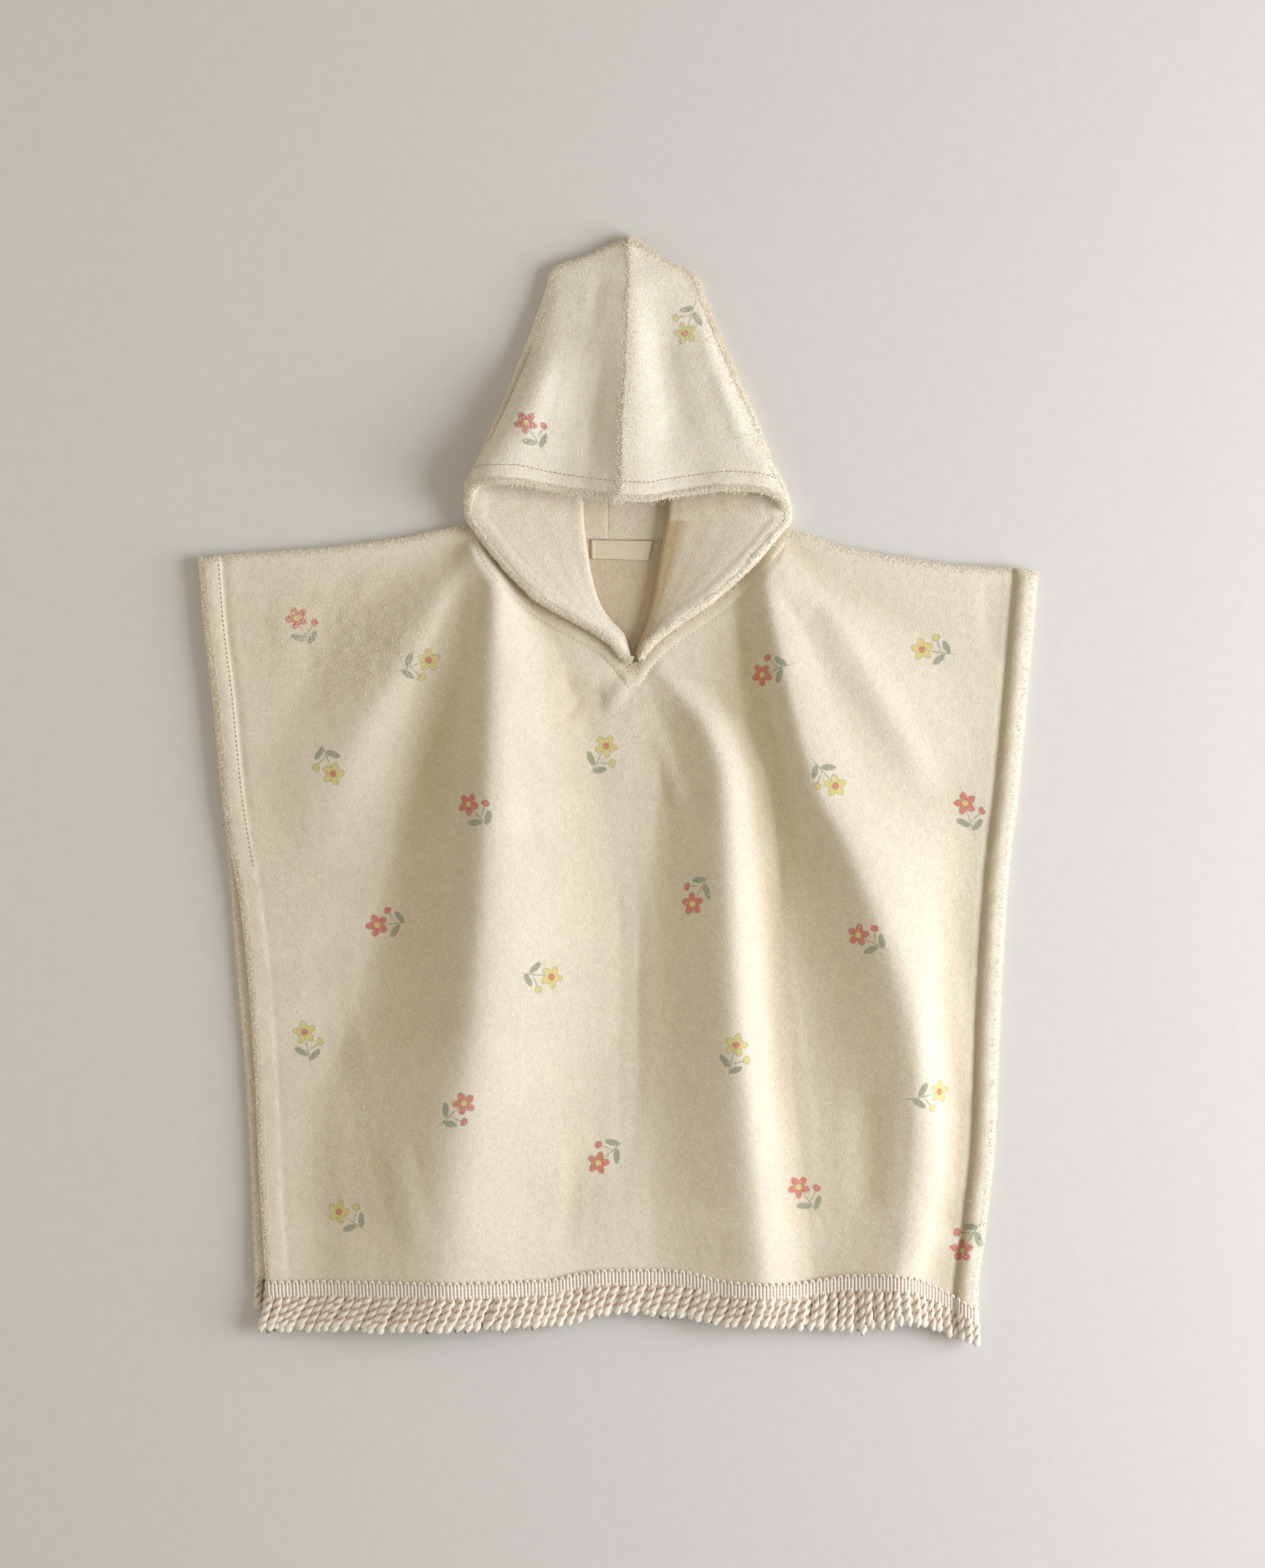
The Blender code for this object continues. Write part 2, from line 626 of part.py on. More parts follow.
def build_back():
    """Back panel, flat on the surface, raised only over the heading of its own fringe."""
    corner_left, corner_right = ARM_LEFT[0], ARM_RIGHT[0]
    left = shoulder_tops(BACK_LEFT[0], corner_left.seam_x, -1, BACK_SHOULDER_COLUMNS)
    right = shoulder_tops(BACK_RIGHT[0], corner_right.seam_x, 1, BACK_SHOULDER_COLUMNS)
    seam = SEAM_BOTTOM[-1].x
    shares = [i / FLOOR_COLUMNS for i in range(FLOOR_COLUMNS + 1)]
    neck_x = [mix(corner_left.seam_x, seam, share) for share in shares]
    neck_x += [mix(seam, corner_right.seam_x, share) for share in shares[1:]]
    neck = [(x, follow(BACK_NECK, "x", "y", x) - SLANT_GAP) for x in neck_x]
    tops = left + neck + right[::-1]
    hem_line = [Line(row.x, row.y - HEADING) for row in BACK_HEADING]
    place, ends = panel_columns(tops, BACK_LEFT, BACK_RIGHT, hem_line)
    lift = HEADING_THICK + SEAM_GAP
    under, upper = [], []
    for c, (top_x, top_y) in enumerate(tops):
        from_neck = max(corner_left.seam_x - top_x, top_x - corner_right.seam_x)
        two_layers = ease(from_neck / SHOULDER_FADE)
        start, end = top_y - BACK_SEAM[-1], ends[c] + HEADING + BACK_LIFT_START
        body = [mix(start, end, (i + 1) / BACK_BODY_ROWS) for i in range(BACK_BODY_ROWS)]
        column = [(top_y - step, 0.0, relief * two_layers)
                  for step, relief in zip(BACK_SEAM, BACK_SEAM_RELIEF)]
        column += [(y, 0.0, 0.0) for y in body]
        column += [(ends[c] + HEADING + BACK_LIFT_STEP, lift, 0.0), (ends[c], lift, 0.0)]
        for r, (y, low, rise) in enumerate(column):
            x = top_x if r == 0 else place(c, (top_y - y) / (top_y - ends[c]), y)
            edge = min(x - follow(BACK_LEFT, "y", "x", y), follow(BACK_RIGHT, "y", "x", y) - x)
            hem = float(np.interp(edge, BACK_HEM, BACK_HEM_RELIEF))
            under.append((x, y, low))
            upper.append((x, y, low + TERRY + max(rise, hem)))
    rows = len(under) // len(tops)
    under = np.array(under).reshape(len(tops), rows, 3).transpose(1, 0, 2)
    upper = np.array(upper).reshape(len(tops), rows, 3).transpose(1, 0, 2)
    cells = grid_cells(rows, len(tops))
    wall("back", "terry", upper.reshape(-1, 3), under.reshape(-1, 3), cells)
    return under[-2] * (1, 1, 0), under[-1] * (1, 1, 0)


# --- Hood -------------------------------------------------------------------------------------
def mouth_relief(distance):
    """Read the relief of the turned hem round the mouth of the hood."""
    return float(np.interp(distance, MOUTH_HEM, MOUTH_RELIEF))


def arc(radius, low, high):
    """Steps round a fold after its start: how far it reaches out, and its height."""
    steps = []
    for i in range(1, ARC_STEPS + 1):
        turn = math.pi * i / ARC_STEPS
        steps.append((radius * (1 - math.sin(turn)), mix(low, high, (1 - math.cos(turn)) / 2)))
    return steps


def closed_section(side, y, lip_distance):
    """One section of the hood above its mouth, from the seam on the floor to the seam on top."""
    level = {name: follow(HOOD_LEVELS, "y", name, y) for name in Level._fields[1:]}
    outline = follow(HOOD_LEFT if side < 0 else HOOD_RIGHT, "y", "x", y)
    inward = -side
    out = outline + inward * TERRY / 2
    pleat = level["pleat"]
    half = (level["corner"] - FLOOR_LAYER) / 2
    seam_y = y if lip_distance is None else follow(LIP, "x", "y", LIP_CENTRE) + lip_distance
    seam_top = follow(SEAM_TOP, "y", "x", seam_y) + side * SEAM_GAP / 2
    ridge = follow(HOOD_LEVELS, "y", "ridge", seam_y)
    bulge = min(half, SIDE_BULGE, abs(seam_top - out) * BULGE_SHARE)
    inner = INNER_FOLD[side]

    def blend(depth, z):
        """Depth in from the side, between a plain round side and a full pleat."""
        up = min(max((z - FLOOR_LAYER - half) / half, -1.0), 1.0)
        plain = bulge * (1 - math.sqrt(1 - up * up))
        return out + inward * mix(plain, depth, pleat), z

    fold_radius = (level["seam"] - FLOOR_LAYER) / 2
    inner_radius = (level["inner"] - level["fold"]) / 2
    corner_radius = (level["corner"] - level["rim"]) / 2
    deep = abs(inner - out) - inner_radius
    section = [blend(fold_radius, FLOOR_LAYER)]
    section += [blend(depth, z) for depth, z in arc(fold_radius, FLOOR_LAYER, level["seam"])]
    for i in range(1, NECK_LAYER_COLUMNS + 1):
        share = i / NECK_LAYER_COLUMNS
        section.append(blend(mix(fold_radius, deep, share), mix(level["seam"], level["fold"], share)))
    for depth, z in arc(inner_radius, level["fold"], level["inner"]):
        section.append(blend(deep + inner_radius - depth, z))
    reach = deep - corner_radius
    for distance in MOUTH_HEM[::-1]:
        share = (1 - min(distance / reach, 1.0)) ** FACE_BOW
        section.append(blend(corner_radius + distance, mix(level["inner"], level["rim"], share)))
    section += [blend(depth, z) for depth, z in arc(corner_radius, level["rim"], level["corner"])]
    seam_floor = follow(SEAM_BOTTOM, "y", "x", y) + side * SEAM_GAP / 2
    floor = [(mix(seam_floor, section[0][0], i / FLOOR_COLUMNS), FLOOR_LAYER)
             for i in range(FLOOR_COLUMNS)]
    start = section[-1]
    roof = []
    for i in range(1, TOP_COLUMNS + 1):
        t = i / TOP_COLUMNS
        rise = mix(t, math.sin(t * math.pi / 2), ROOF_ROUNDNESS)
        roof.append((mix(start[0], seam_top, t), mix(start[1], ridge, rise)))
    points = [(x, y, z) for x, z in floor + section]
    if lip_distance is None:
        return points + [(x, y, z) for x, z in roof]
    return points + [(x, follow(LIP, "x", "y", x) + lip_distance, z) for x, z in roof]


def arm_section(arm):
    """One section of an arm of the hood, from the neck seam round the inner fold to the rim."""
    level = HOOD_LEVELS[-1]
    seam = np.array((arm.seam_x, arm.seam_y))
    rim = np.array((arm.rim_x, arm.rim_y))
    fold = np.array((arm.fold_x, arm.fold_y))
    away = (fold - rim) / np.linalg.norm(fold - rim)
    fold = fold - away * TERRY / 2
    radius = (level.inner - level.fold) / 2
    turn = fold - away * radius
    points = [(*seam, level.seam)]
    for i in range(1, NECK_LAYER_COLUMNS + 1):
        share = i / NECK_LAYER_COLUMNS
        points.append((*mix(seam, turn, share), mix(level.seam, level.fold, share)))
    for depth, z in arc(radius, level.fold, level.inner):
        points.append((*(fold - away * depth), z))
    face = np.linalg.norm(turn - rim)
    scale = min(1.0, face / (MOUTH_HEM[-1] * ARM_HEM_LIMIT))
    for distance in MOUTH_HEM[::-1]:
        share = 1 - distance * scale / face
        drop = RIM_DROP * max(0.0, share - RIM_DROP_START) / (1 - RIM_DROP_START)
        points.append((*mix(turn, rim, share), mix(level.inner, arm.rim_z, share ** FACE_BOW) - drop))
    return points, scale


def build_hood(side):
    """One half of the hood: a folded sheet with the mouth left open, then thickened."""
    arms = ARM_LEFT if side < 0 else ARM_RIGHT
    corner = MOUTH_CORNER[side]
    first_arc = FLOOR_COLUMNS
    neck_start = first_arc + ARC_STEPS
    rim_column = neck_start + NECK_LAYER_COLUMNS + ARC_STEPS + len(MOUTH_HEM)
    columns = rim_column + ARC_STEPS + TOP_COLUMNS + 1
    rows = [closed_section(side, y, None) for y in HOOD_ROWS]
    rows += [closed_section(side, corner + d, d) for d in MOUTH_HEM[::-1]]
    lip_row = len(rows) - 1
    half = np.zeros((len(rows) + len(arms), columns))
    for r, distance in zip(range(lip_row - len(MOUTH_HEM) + 1, lip_row + 1), MOUTH_HEM[::-1]):
        half[r, rim_column:] = mouth_relief(distance)
        for c, across in zip(range(rim_column - 1, rim_column - len(MOUTH_HEM), -1), MOUTH_HEM[1:]):
            half[r, c] = mouth_relief(math.hypot(distance, across))
    for i, arm in enumerate(arms):
        points, scale = arm_section(arm)
        row = [points[0]] * neck_start + points + [points[-1]] * (columns - 1 - rim_column)
        if i == 0:
            fold_radius = (HOOD_LEVELS[-1].seam - FLOOR_LAYER) / 2
            inward = -side
            start = arm.seam_x + inward * fold_radius
            seam = SEAM_BOTTOM[-1].x + side * SEAM_GAP / 2
            for c in range(FLOOR_COLUMNS + 1):
                x = mix(seam, arm.seam_x, c / FLOOR_COLUMNS)
                reach = mix(seam, start, c / FLOOR_COLUMNS)
                row[c] = (reach, follow(BACK_NECK, "x", "y", x), FLOOR_LAYER)
            steps = arc(fold_radius, FLOOR_LAYER, HOOD_LEVELS[-1].seam)
            for c, (depth, z) in enumerate(steps):
                row[first_arc + 1 + c] = (arm.seam_x + inward * depth, arm.seam_y, z)
        rows.append(row)
        r = lip_row + 1 + i
        for c, across in zip(range(rim_column, rim_column - len(MOUTH_HEM), -1), MOUTH_HEM):
            half[r, c] = mouth_relief(across) * scale * scale
    neck_row = lip_row + 1

    def keep(row, column):
        """Leave out the mouth, and the floor layer below the back neck seam."""
        if column >= rim_column:
            return row < lip_row
        if column < neck_start:
            return row < neck_row
        return True

    sheet = np.array(rows)
    cells = grid_cells(len(rows), columns, keep)
    if side > 0:
        cells = [cell[::-1] for cell in cells]
    flat = sheet.reshape(-1, 3)
    normals = sheet_normals(flat, cells).reshape(len(rows), columns, 3)
    settle_edges(normals, neck_row, neck_start)
    move = normals * (TERRY / 2 + half)[..., None]
    outside = (sheet + move).reshape(-1, 3)
    inside = (sheet - move).reshape(-1, 3)
    outside[:, 2] = np.maximum(outside[:, 2], 0.0)
    name = "hood_left" if side < 0 else "hood_right"
    return wall(name, "terry", outside, inside, cells)


def settle_edges(normals, neck_row, neck_start):
    """Square the sewn edges of the hood, so that they stay a seam gap from their neighbours."""
    normals[:, 0] = (0, 0, -1)
    normals[neck_row, :neck_start + 1, 1] = 0.0
    normals[neck_row + 1:, neck_start] = (0, 0, 1)
    normals[:neck_row, -1, 0] = 0.0
    lengths = np.linalg.norm(normals, axis=2)
    normals /= np.where(lengths == 0, 1.0, lengths)[..., None]


# --- Fringe -----------------------------------------------------------------------------------
def read_row(row, column):
    """Point at a column of a row of points, straight between whole columns."""
    steps = np.arange(len(row))
    return np.array([np.interp(column, steps, row[:, axis]) for axis in range(3)])


def even_columns(row, shares):
    """Turn shares of a row's length into columns of that row."""
    lengths = np.concatenate(([0.0], np.cumsum(np.linalg.norm(np.diff(row, axis=0), axis=1))))
    return np.interp(np.array(shares) * lengths[-1], lengths, np.arange(len(row)))


def build_fringe(name, top, bottom, gap, lean, tips, rest):
    """Heading strip on a panel's points, with its strands drawn out of its lower edge."""
    vertices, faces = [], []

    def point(place):
        vertices.append(tuple(place))
        return len(vertices) - 1

    def strip_point(row, column):
        inner = read_row(row, column) + np.array((0, 0, gap))
        return point(inner + np.array((0, 0, HEADING_THICK))), point(inner)

    shares = [0.0]
    for i in range(STRANDS):
        middle = (i + 0.5) / STRANDS
        shares += [middle - STRAND_SHARE / 2 / STRANDS, middle + STRAND_SHARE / 2 / STRANDS]
    shares.append(1.0)
    lower_at = even_columns(bottom, shares)
    lower = [strip_point(bottom, column) for column in lower_at]
    upper = [strip_point(top, column) for column in range(len(top))]
    upper_at = np.arange(len(top))
    for face in ladder([p[0] for p in upper], [p[0] for p in lower], upper_at, lower_at):
        faces.append(face)
    for face in ladder([p[1] for p in upper], [p[1] for p in lower], upper_at, lower_at):
        faces.append(face[::-1])
    for a, b in zip(upper, upper[1:]):
        faces.append([a[0], b[0], b[1], a[1]])
    for a, b in ((upper[0], lower[0]), (lower[-1], upper[-1])):
        faces.append([b[0], a[0], a[1], b[1]])
    for i, (a, b) in enumerate(zip(lower, lower[1:])):
        if i % 2 == 0:
            faces.append([a[1], b[1], b[0], a[0]])
    for i in range(STRANDS):
        root = [*lower[1 + 2 * i], *lower[2 + 2 * i][::-1]]
        add_strand(vertices, faces, point, root, lean, tips, rest)
    return add_piece(name, "cotton", vertices, faces)


def ladder(upper, lower, upper_at, lower_at):
    """Triangles between two rows of points that are spaced differently."""
    faces = []
    i = j = 0
    while i < len(upper) - 1 or j < len(lower) - 1:
        upper_ended = i == len(upper) - 1
        lower_ended = j == len(lower) - 1
        if lower_ended or (not upper_ended and upper_at[i + 1] < lower_at[j + 1]):
            faces.append([upper[i], lower[j], upper[i + 1]])
            i += 1
        else:
            faces.append([upper[i], lower[j], lower[j + 1]])
            j += 1
    return faces


def add_strand(vertices, faces, point, root, lean, tips, rest):
    """Draw one strand out of its root on the heading: thin root, full middle, narrow tip."""
    centre = np.mean([vertices[i] for i in root], axis=0)
    slant = follow(lean, "x", "lean", centre[0])
    tip_y = follow(tips, "x", "y", centre[0] - slant * STRAND_REACH)
    tip_x = centre[0] - slant * (centre[1] - tip_y)
    rise = max(centre[2] - rest, 0.0) * (1 - STRAND_DROOP)
    width = abs(vertices[root[2]][0] - vertices[root[0]][0])
    last = root
    for ring in STRAND_RINGS:
        x, y = mix(centre[0], tip_x, ring.share), mix(centre[1], tip_y, ring.share)
        z = mix(max(centre[2], rest), rest + rise, ring.share)
        half_x, half_z = width * ring.across / 2, STRAND_THICK * ring.thick / 2
        corners = ((-half_x, half_z), (-half_x, -half_z), (half_x, -half_z), (half_x, half_z))
        new = [point((x + dx, y, z + dz)) for dx, dz in corners]
        for k in range(len(new)):
            following = (k + 1) % len(new)
            faces.append([last[following], new[following], new[k], last[k]])
        last = new
    faces.append(last)


# --- Label ------------------------------------------------------------------------------------
def build_label():
    """Woven label that lies on the inner face of the back, sewn in under the neck seam."""
    low = TERRY + SEAM_GAP
    vertices = [(p.x, p.y, low) for p in LABEL_CORNERS]
    vertices += [(p.x, p.y, low + LABEL_THICK) for p in LABEL_CORNERS]
    faces = [(0, 1, 2, 3), (7, 6, 5, 4)]
    faces += [(i, i + 4, (i + 1) % 4 + 4, (i + 1) % 4) for i in range(4)]
    return add_piece("label", "label", vertices, faces)


def centre_pieces():
    """Move the whole poncho so that the middle of its outline is over the origin."""
    meshes = [piece.data for piece in bpy.data.objects]
    points = np.array([vertex.co for mesh in meshes for vertex in mesh.vertices])
    middle = (points.min(axis=0) + points.max(axis=0)) / 2
    for mesh in meshes:
        for vertex in mesh.vertices:
            vertex.co.x -= middle[0]
            vertex.co.y -= middle[1]


def main():
    """Build every piece of the poncho."""
    clear_scene()
    front_top, front_bottom = build_front()
    back_top, back_bottom = build_back()
    for side in (-1, 1):
        build_hood(side)
    floor_rest = STRAND_CLEAR + STRAND_THICK / 2
    front_rest = BACK_STRAND_TOP + floor_rest
    build_fringe("fringe_front", front_top, front_bottom, HEADING_GAP, FRONT_LEAN, FRONT_TIPS,
                 front_rest)
    build_fringe("fringe_back", back_top, back_bottom, 0.0, BACK_LEAN, BACK_TIPS, floor_rest)
    build_label()
    centre_pieces()


main()
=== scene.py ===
"""Hooded bath poncho in printed cotton terry, laid flat with its front up.

Metres, +Z up. The cloth lies on z = 0 with its hem towards -Y and its hood spread above the neck
towards +Y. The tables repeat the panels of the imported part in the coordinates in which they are
drawn, and every mesh is then moved by TABLE_SHIFT into the part's own frame.
"""

import logging
import math
from dataclasses import dataclass, field
from enum import Enum
from typing import Any, Iterable, Sequence

import bpy
import numpy as np
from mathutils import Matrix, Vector


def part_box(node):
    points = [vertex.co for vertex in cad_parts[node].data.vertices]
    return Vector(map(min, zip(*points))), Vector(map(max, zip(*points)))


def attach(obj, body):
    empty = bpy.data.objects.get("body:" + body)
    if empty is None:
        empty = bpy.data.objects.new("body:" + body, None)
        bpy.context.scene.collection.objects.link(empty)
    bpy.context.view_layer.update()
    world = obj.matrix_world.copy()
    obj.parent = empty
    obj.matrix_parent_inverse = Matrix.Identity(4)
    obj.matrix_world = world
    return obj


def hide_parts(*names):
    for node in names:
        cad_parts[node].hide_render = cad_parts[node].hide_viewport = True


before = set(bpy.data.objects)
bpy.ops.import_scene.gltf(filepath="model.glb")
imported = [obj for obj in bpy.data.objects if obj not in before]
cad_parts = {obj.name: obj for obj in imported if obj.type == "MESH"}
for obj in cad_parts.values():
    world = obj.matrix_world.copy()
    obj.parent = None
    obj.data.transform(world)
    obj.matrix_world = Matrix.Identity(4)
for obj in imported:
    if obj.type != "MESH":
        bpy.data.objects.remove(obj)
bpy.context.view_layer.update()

Array = np.ndarray
Tree = bpy.types.NodeTree
Socket = bpy.types.NodeSocket
UP = np.array((0.0, 0.0, 1.0))
log = logging.getLogger("bath_poncho")

# --- Cloth and sewing, in metres --------------------------------------------------------------
MM = 0.001
TERRY = 0.003  # thickness of the cloth
SEAM_GAP = 0.0003  # between pieces that are sewn together
SEAM_LAP = 0.0002  # by which the hood closes that gap
HEADING = 0.011  # depth of the fringes' woven heading
HEADING_THICK = 0.0018
HEADING_GAP = 0.0009  # between the front's cloth and its heading
FRONT_REST = 0.0053  # height of the front's underside where it lies flat
FRONT_REST_HEM = 0.0072  # the same over the back's fringe
HEM_FOLD = 0.0145  # depth of the turned side hems
STRANDS = 80  # along each fringe
TUFT_RIDGE = 0.22  # height of a loose tuft as a share of its width

# --- Outline of the panels, x over y or y over x ----------------------------------------------
FRONT_LEFT = (
    (0.1771, -0.3157), (0.1320, -0.3124), (0.0770, -0.3058), (0.0000, -0.2981),
    (-0.0330, -0.2932), (-0.0760, -0.2855), (-0.1436, -0.2780), (-0.2173, -0.2731),
    (-0.2992, -0.2695), (-0.3784, -0.2640),
)
FRONT_RIGHT = (
    (0.1661, 0.3152), (0.1018, 0.3097), (0.0050, 0.3009), (-0.0605, 0.2932), (-0.1595, 0.2871),
    (-0.2607, 0.2833), (-0.3278, 0.2761), (-0.3784, 0.2701), (-0.3960, 0.2701),
)
BACK_LEFT = (
    (0.1771, -0.3157), (0.1320, -0.3124), (0.0770, -0.3058), (0.0000, -0.2987),
    (-0.0330, -0.2954), (-0.1436, -0.2866), (-0.2173, -0.2805), (-0.2992, -0.2764),
    (-0.3685, -0.2734),
)
BACK_RIGHT = (
    (0.1661, 0.3140), (0.1018, 0.3085), (0.0050, 0.2998), (-0.0605, 0.2915), (-0.1595, 0.2849),
    (-0.2607, 0.2805), (-0.3278, 0.2728), (-0.3905, 0.2673),
)
SHOULDERS = (
    (-0.3157, 0.1771), (-0.2964, 0.1799), (-0.2305, 0.1848), (-0.1645, 0.1930),
    (-0.1100, 0.2024), (0.1260, 0.1997), (0.1656, 0.1876), (0.2316, 0.1755), (0.2646, 0.1716),
    (0.2976, 0.1705), (0.3152, 0.1661),
)
BACK_NECK = (
    (-0.1100, 0.2024), (-0.0760, 0.1945), (-0.0250, 0.1914), (0.0330, 0.1914), (0.0900, 0.1938),
    (0.1260, 0.1997),
)
FRONT_HEADING = (
    (-0.2640, -0.3674), (-0.2195, -0.3663), (-0.0820, -0.3658), (-0.0517, -0.3652),
    (-0.0341, -0.3614), (-0.0011, -0.3581), (0.0314, -0.3581), (0.0506, -0.3592),
    (0.0820, -0.3658), (0.1287, -0.3677), (0.1766, -0.3619), (0.2002, -0.3612),
    (0.2184, -0.3630), (0.2360, -0.3696), (0.2519, -0.3779), (0.2701, -0.3880),
)
FRONT_TIPS = (
    (-0.2690, -0.4032), (-0.1150, -0.4032), (-0.0402, -0.3993), (-0.0226, -0.3949),
    (0.0000, -0.3911), (0.0506, -0.3938), (0.0820, -0.3999), (0.1348, -0.4021),
    (0.1766, -0.4048), (0.2002, -0.4021), (0.2217, -0.3982), (0.2459, -0.4065),
    (0.2717, -0.4147),
)
BACK_HEADING = (
    (-0.2734, -0.3536), (-0.1000, -0.3560), (0.1000, -0.3640), (0.2250, -0.3660),
    (0.2673, -0.3780),
)
BACK_TIPS = (
    (-0.2760, -0.3892), (-0.1000, -0.3900), (0.0000, -0.3862), (0.1000, -0.3958),
    (0.2250, -0.4005), (0.2700, -0.4110),
)
FRONT_LEAN = (
    (-0.2640, 0.30), (-0.2300, 0.50), (-0.1500, 0.46), (-0.0500, 0.34), (0.0600, 0.36),
    (0.1100, 0.30), (0.1500, 0.10), (0.2100, -0.10),
    (0.2700, -0.05),
)
BACK_LEAN = ((-0.2740, 0.10), (0.2680, -0.05))

# --- Folds of the front: y, x of the crest, height, reach to the left and to the right ---------
CRESTS = (
    ((0.1925, -0.1095, 0.000, 0.030, 0.020), (0.1705, -0.1200, 0.005, 0.045, 0.025),
     (0.1045, -0.1590, 0.010, 0.070, 0.050), (0.0220, -0.2030, 0.008, 0.075, 0.060),
     (-0.0605, -0.2250, 0.000, 0.070, 0.060)),
    ((0.1980, -0.1050, 0.004, 0.020, 0.020), (0.1507, -0.0924, 0.014, 0.034, 0.028),
     (0.0869, -0.0924, 0.021, 0.060, 0.060), (-0.0330, -0.0968, 0.027, 0.075, 0.092),
     (-0.1650, -0.1045, 0.028, 0.096, 0.106), (-0.2400, -0.1150, 0.026, 0.122, 0.104),
     (-0.3355, -0.1254, 0.020, 0.126, 0.104), (-0.3850, -0.1304, 0.013, 0.126, 0.100)),
    ((0.0935, 0.0308, 0.001, 0.012, 0.020), (0.0715, 0.0510, 0.005, 0.026, 0.028),
     (0.0495, 0.0680, 0.010, 0.036, 0.030), (0.0055, 0.0800, 0.015, 0.050, 0.036),
     (-0.1584, 0.0880, 0.019, 0.074, 0.040), (-0.3355, 0.1051, 0.014, 0.080, 0.040),
     (-0.3850, 0.1095, 0.011, 0.080, 0.040)),
    ((0.1925, 0.1080, 0.003, 0.016, 0.025), (0.1502, 0.1130, 0.011, 0.026, 0.045),
     (0.1018, 0.1232, 0.016, 0.034, 0.076), (0.0050, 0.1507, 0.018, 0.050, 0.104),
     (-0.0369, 0.1733, 0.020, 0.060, 0.094), (-0.1634, 0.2178, 0.020, 0.080, 0.056),
     (-0.2789, 0.2350, 0.014, 0.084, 0.038), (-0.3850, 0.2080, 0.009, 0.060, 0.046)),
    ((0.1815, 0.1298, 0.000, 0.020, 0.035), (0.1550, 0.1450, 0.005, 0.026, 0.045),
     (0.1100, 0.1780, 0.008, 0.036, 0.060), (0.0500, 0.2130, 0.006, 0.045, 0.060),
     (-0.0055, 0.2371, 0.000, 0.045, 0.050)),
)
SIDE_FADE = 0.050
SHOULDER_FADE = 0.055
NECK_FADE = 0.024

# --- Hood: arms as seam x, seam y, rim x, rim y, rim z, fold x, fold y --------------------------
ARM_LEFT = (
    (-0.1100, 0.2024, -0.1122, 0.2101, 0.0210, -0.0259, 0.2035),
    (-0.0974, 0.1826, -0.0946, 0.1854, 0.0200, -0.0237, 0.1859),
    (-0.0803, 0.1628, -0.0776, 0.1656, 0.0190, -0.0209, 0.1683),
    (-0.0600, 0.1447, -0.0578, 0.1474, 0.0180, -0.0171, 0.1529),
    (-0.0391, 0.1326, -0.0374, 0.1358, 0.0170, -0.0127, 0.1419),
    (-0.0198, 0.1221, -0.0181, 0.1254, 0.0155, -0.0061, 0.1320),
    (-0.0050, 0.1117, -0.0028, 0.1144, 0.0140, 0.0044, 0.1205),
    (0.0066, 0.0985, 0.0044, 0.1029, 0.0128, 0.0088, 0.1062),
)
ARM_RIGHT = (
    (0.1260, 0.1997, 0.1268, 0.2079, 0.0210, 0.0358, 0.2046),
    (0.1128, 0.1854, 0.1106, 0.1881, 0.0200, 0.0324, 0.1859),
    (0.0941, 0.1656, 0.0919, 0.1683, 0.0190, 0.0297, 0.1683),
    (0.0743, 0.1479, 0.0726, 0.1507, 0.0180, 0.0270, 0.1529),
    (0.0550, 0.1342, 0.0534, 0.1370, 0.0170, 0.0242, 0.1397),
    (0.0369, 0.1216, 0.0352, 0.1243, 0.0155, 0.0209, 0.1276),
    (0.0242, 0.1100, 0.0220, 0.1128, 0.0140, 0.0165, 0.1166),
    (0.0144, 0.0979, 0.0166, 0.1029, 0.0128, 0.0124, 0.1062),
)
HOOD_LEFT = (
    (0.4175, 0.0035), (0.4070, -0.0187), (0.3938, -0.0512), (0.3806, -0.0550),
    (0.3520, -0.0649), (0.3190, -0.0781), (0.2750, -0.0963), (0.2420, -0.1095),
    (0.2310, -0.1144), (0.2211, -0.1144),
)
HOOD_RIGHT = (
    (0.4175, 0.0141), (0.4042, 0.0330), (0.3883, 0.0611), (0.3746, 0.0655), (0.3482, 0.0759),
    (0.3185, 0.0891), (0.2833, 0.1040), (0.2503, 0.1155), (0.2299, 0.1249), (0.2178, 0.1282),
)
SEAM_TOP = (
    (0.4180, 0.0088), (0.3795, 0.0072), (0.3245, 0.0044), (0.2695, 0.0016), (0.2338, 0.0006),
    (0.2195, -0.0022),
)
SEAM_BOTTOM = (
    (0.4180, 0.0088), (0.3795, 0.0050), (0.3245, 0.0000), (0.2200, -0.0083), (0.1914, -0.0083),
)
LIP = (
    (-0.1140, 0.2230), (-0.1095, 0.2277), (-0.1001, 0.2316), (-0.0787, 0.2316),
    (-0.0545, 0.2272), (-0.0286, 0.2228), (-0.0022, 0.2195), (0.0192, 0.2184),
    (0.0369, 0.2215), (0.0583, 0.2245), (0.0803, 0.2270), (0.1018, 0.2261), (0.1216, 0.2205),
    (0.1282, 0.2162),
)
LIP_CENTRE = -0.0022
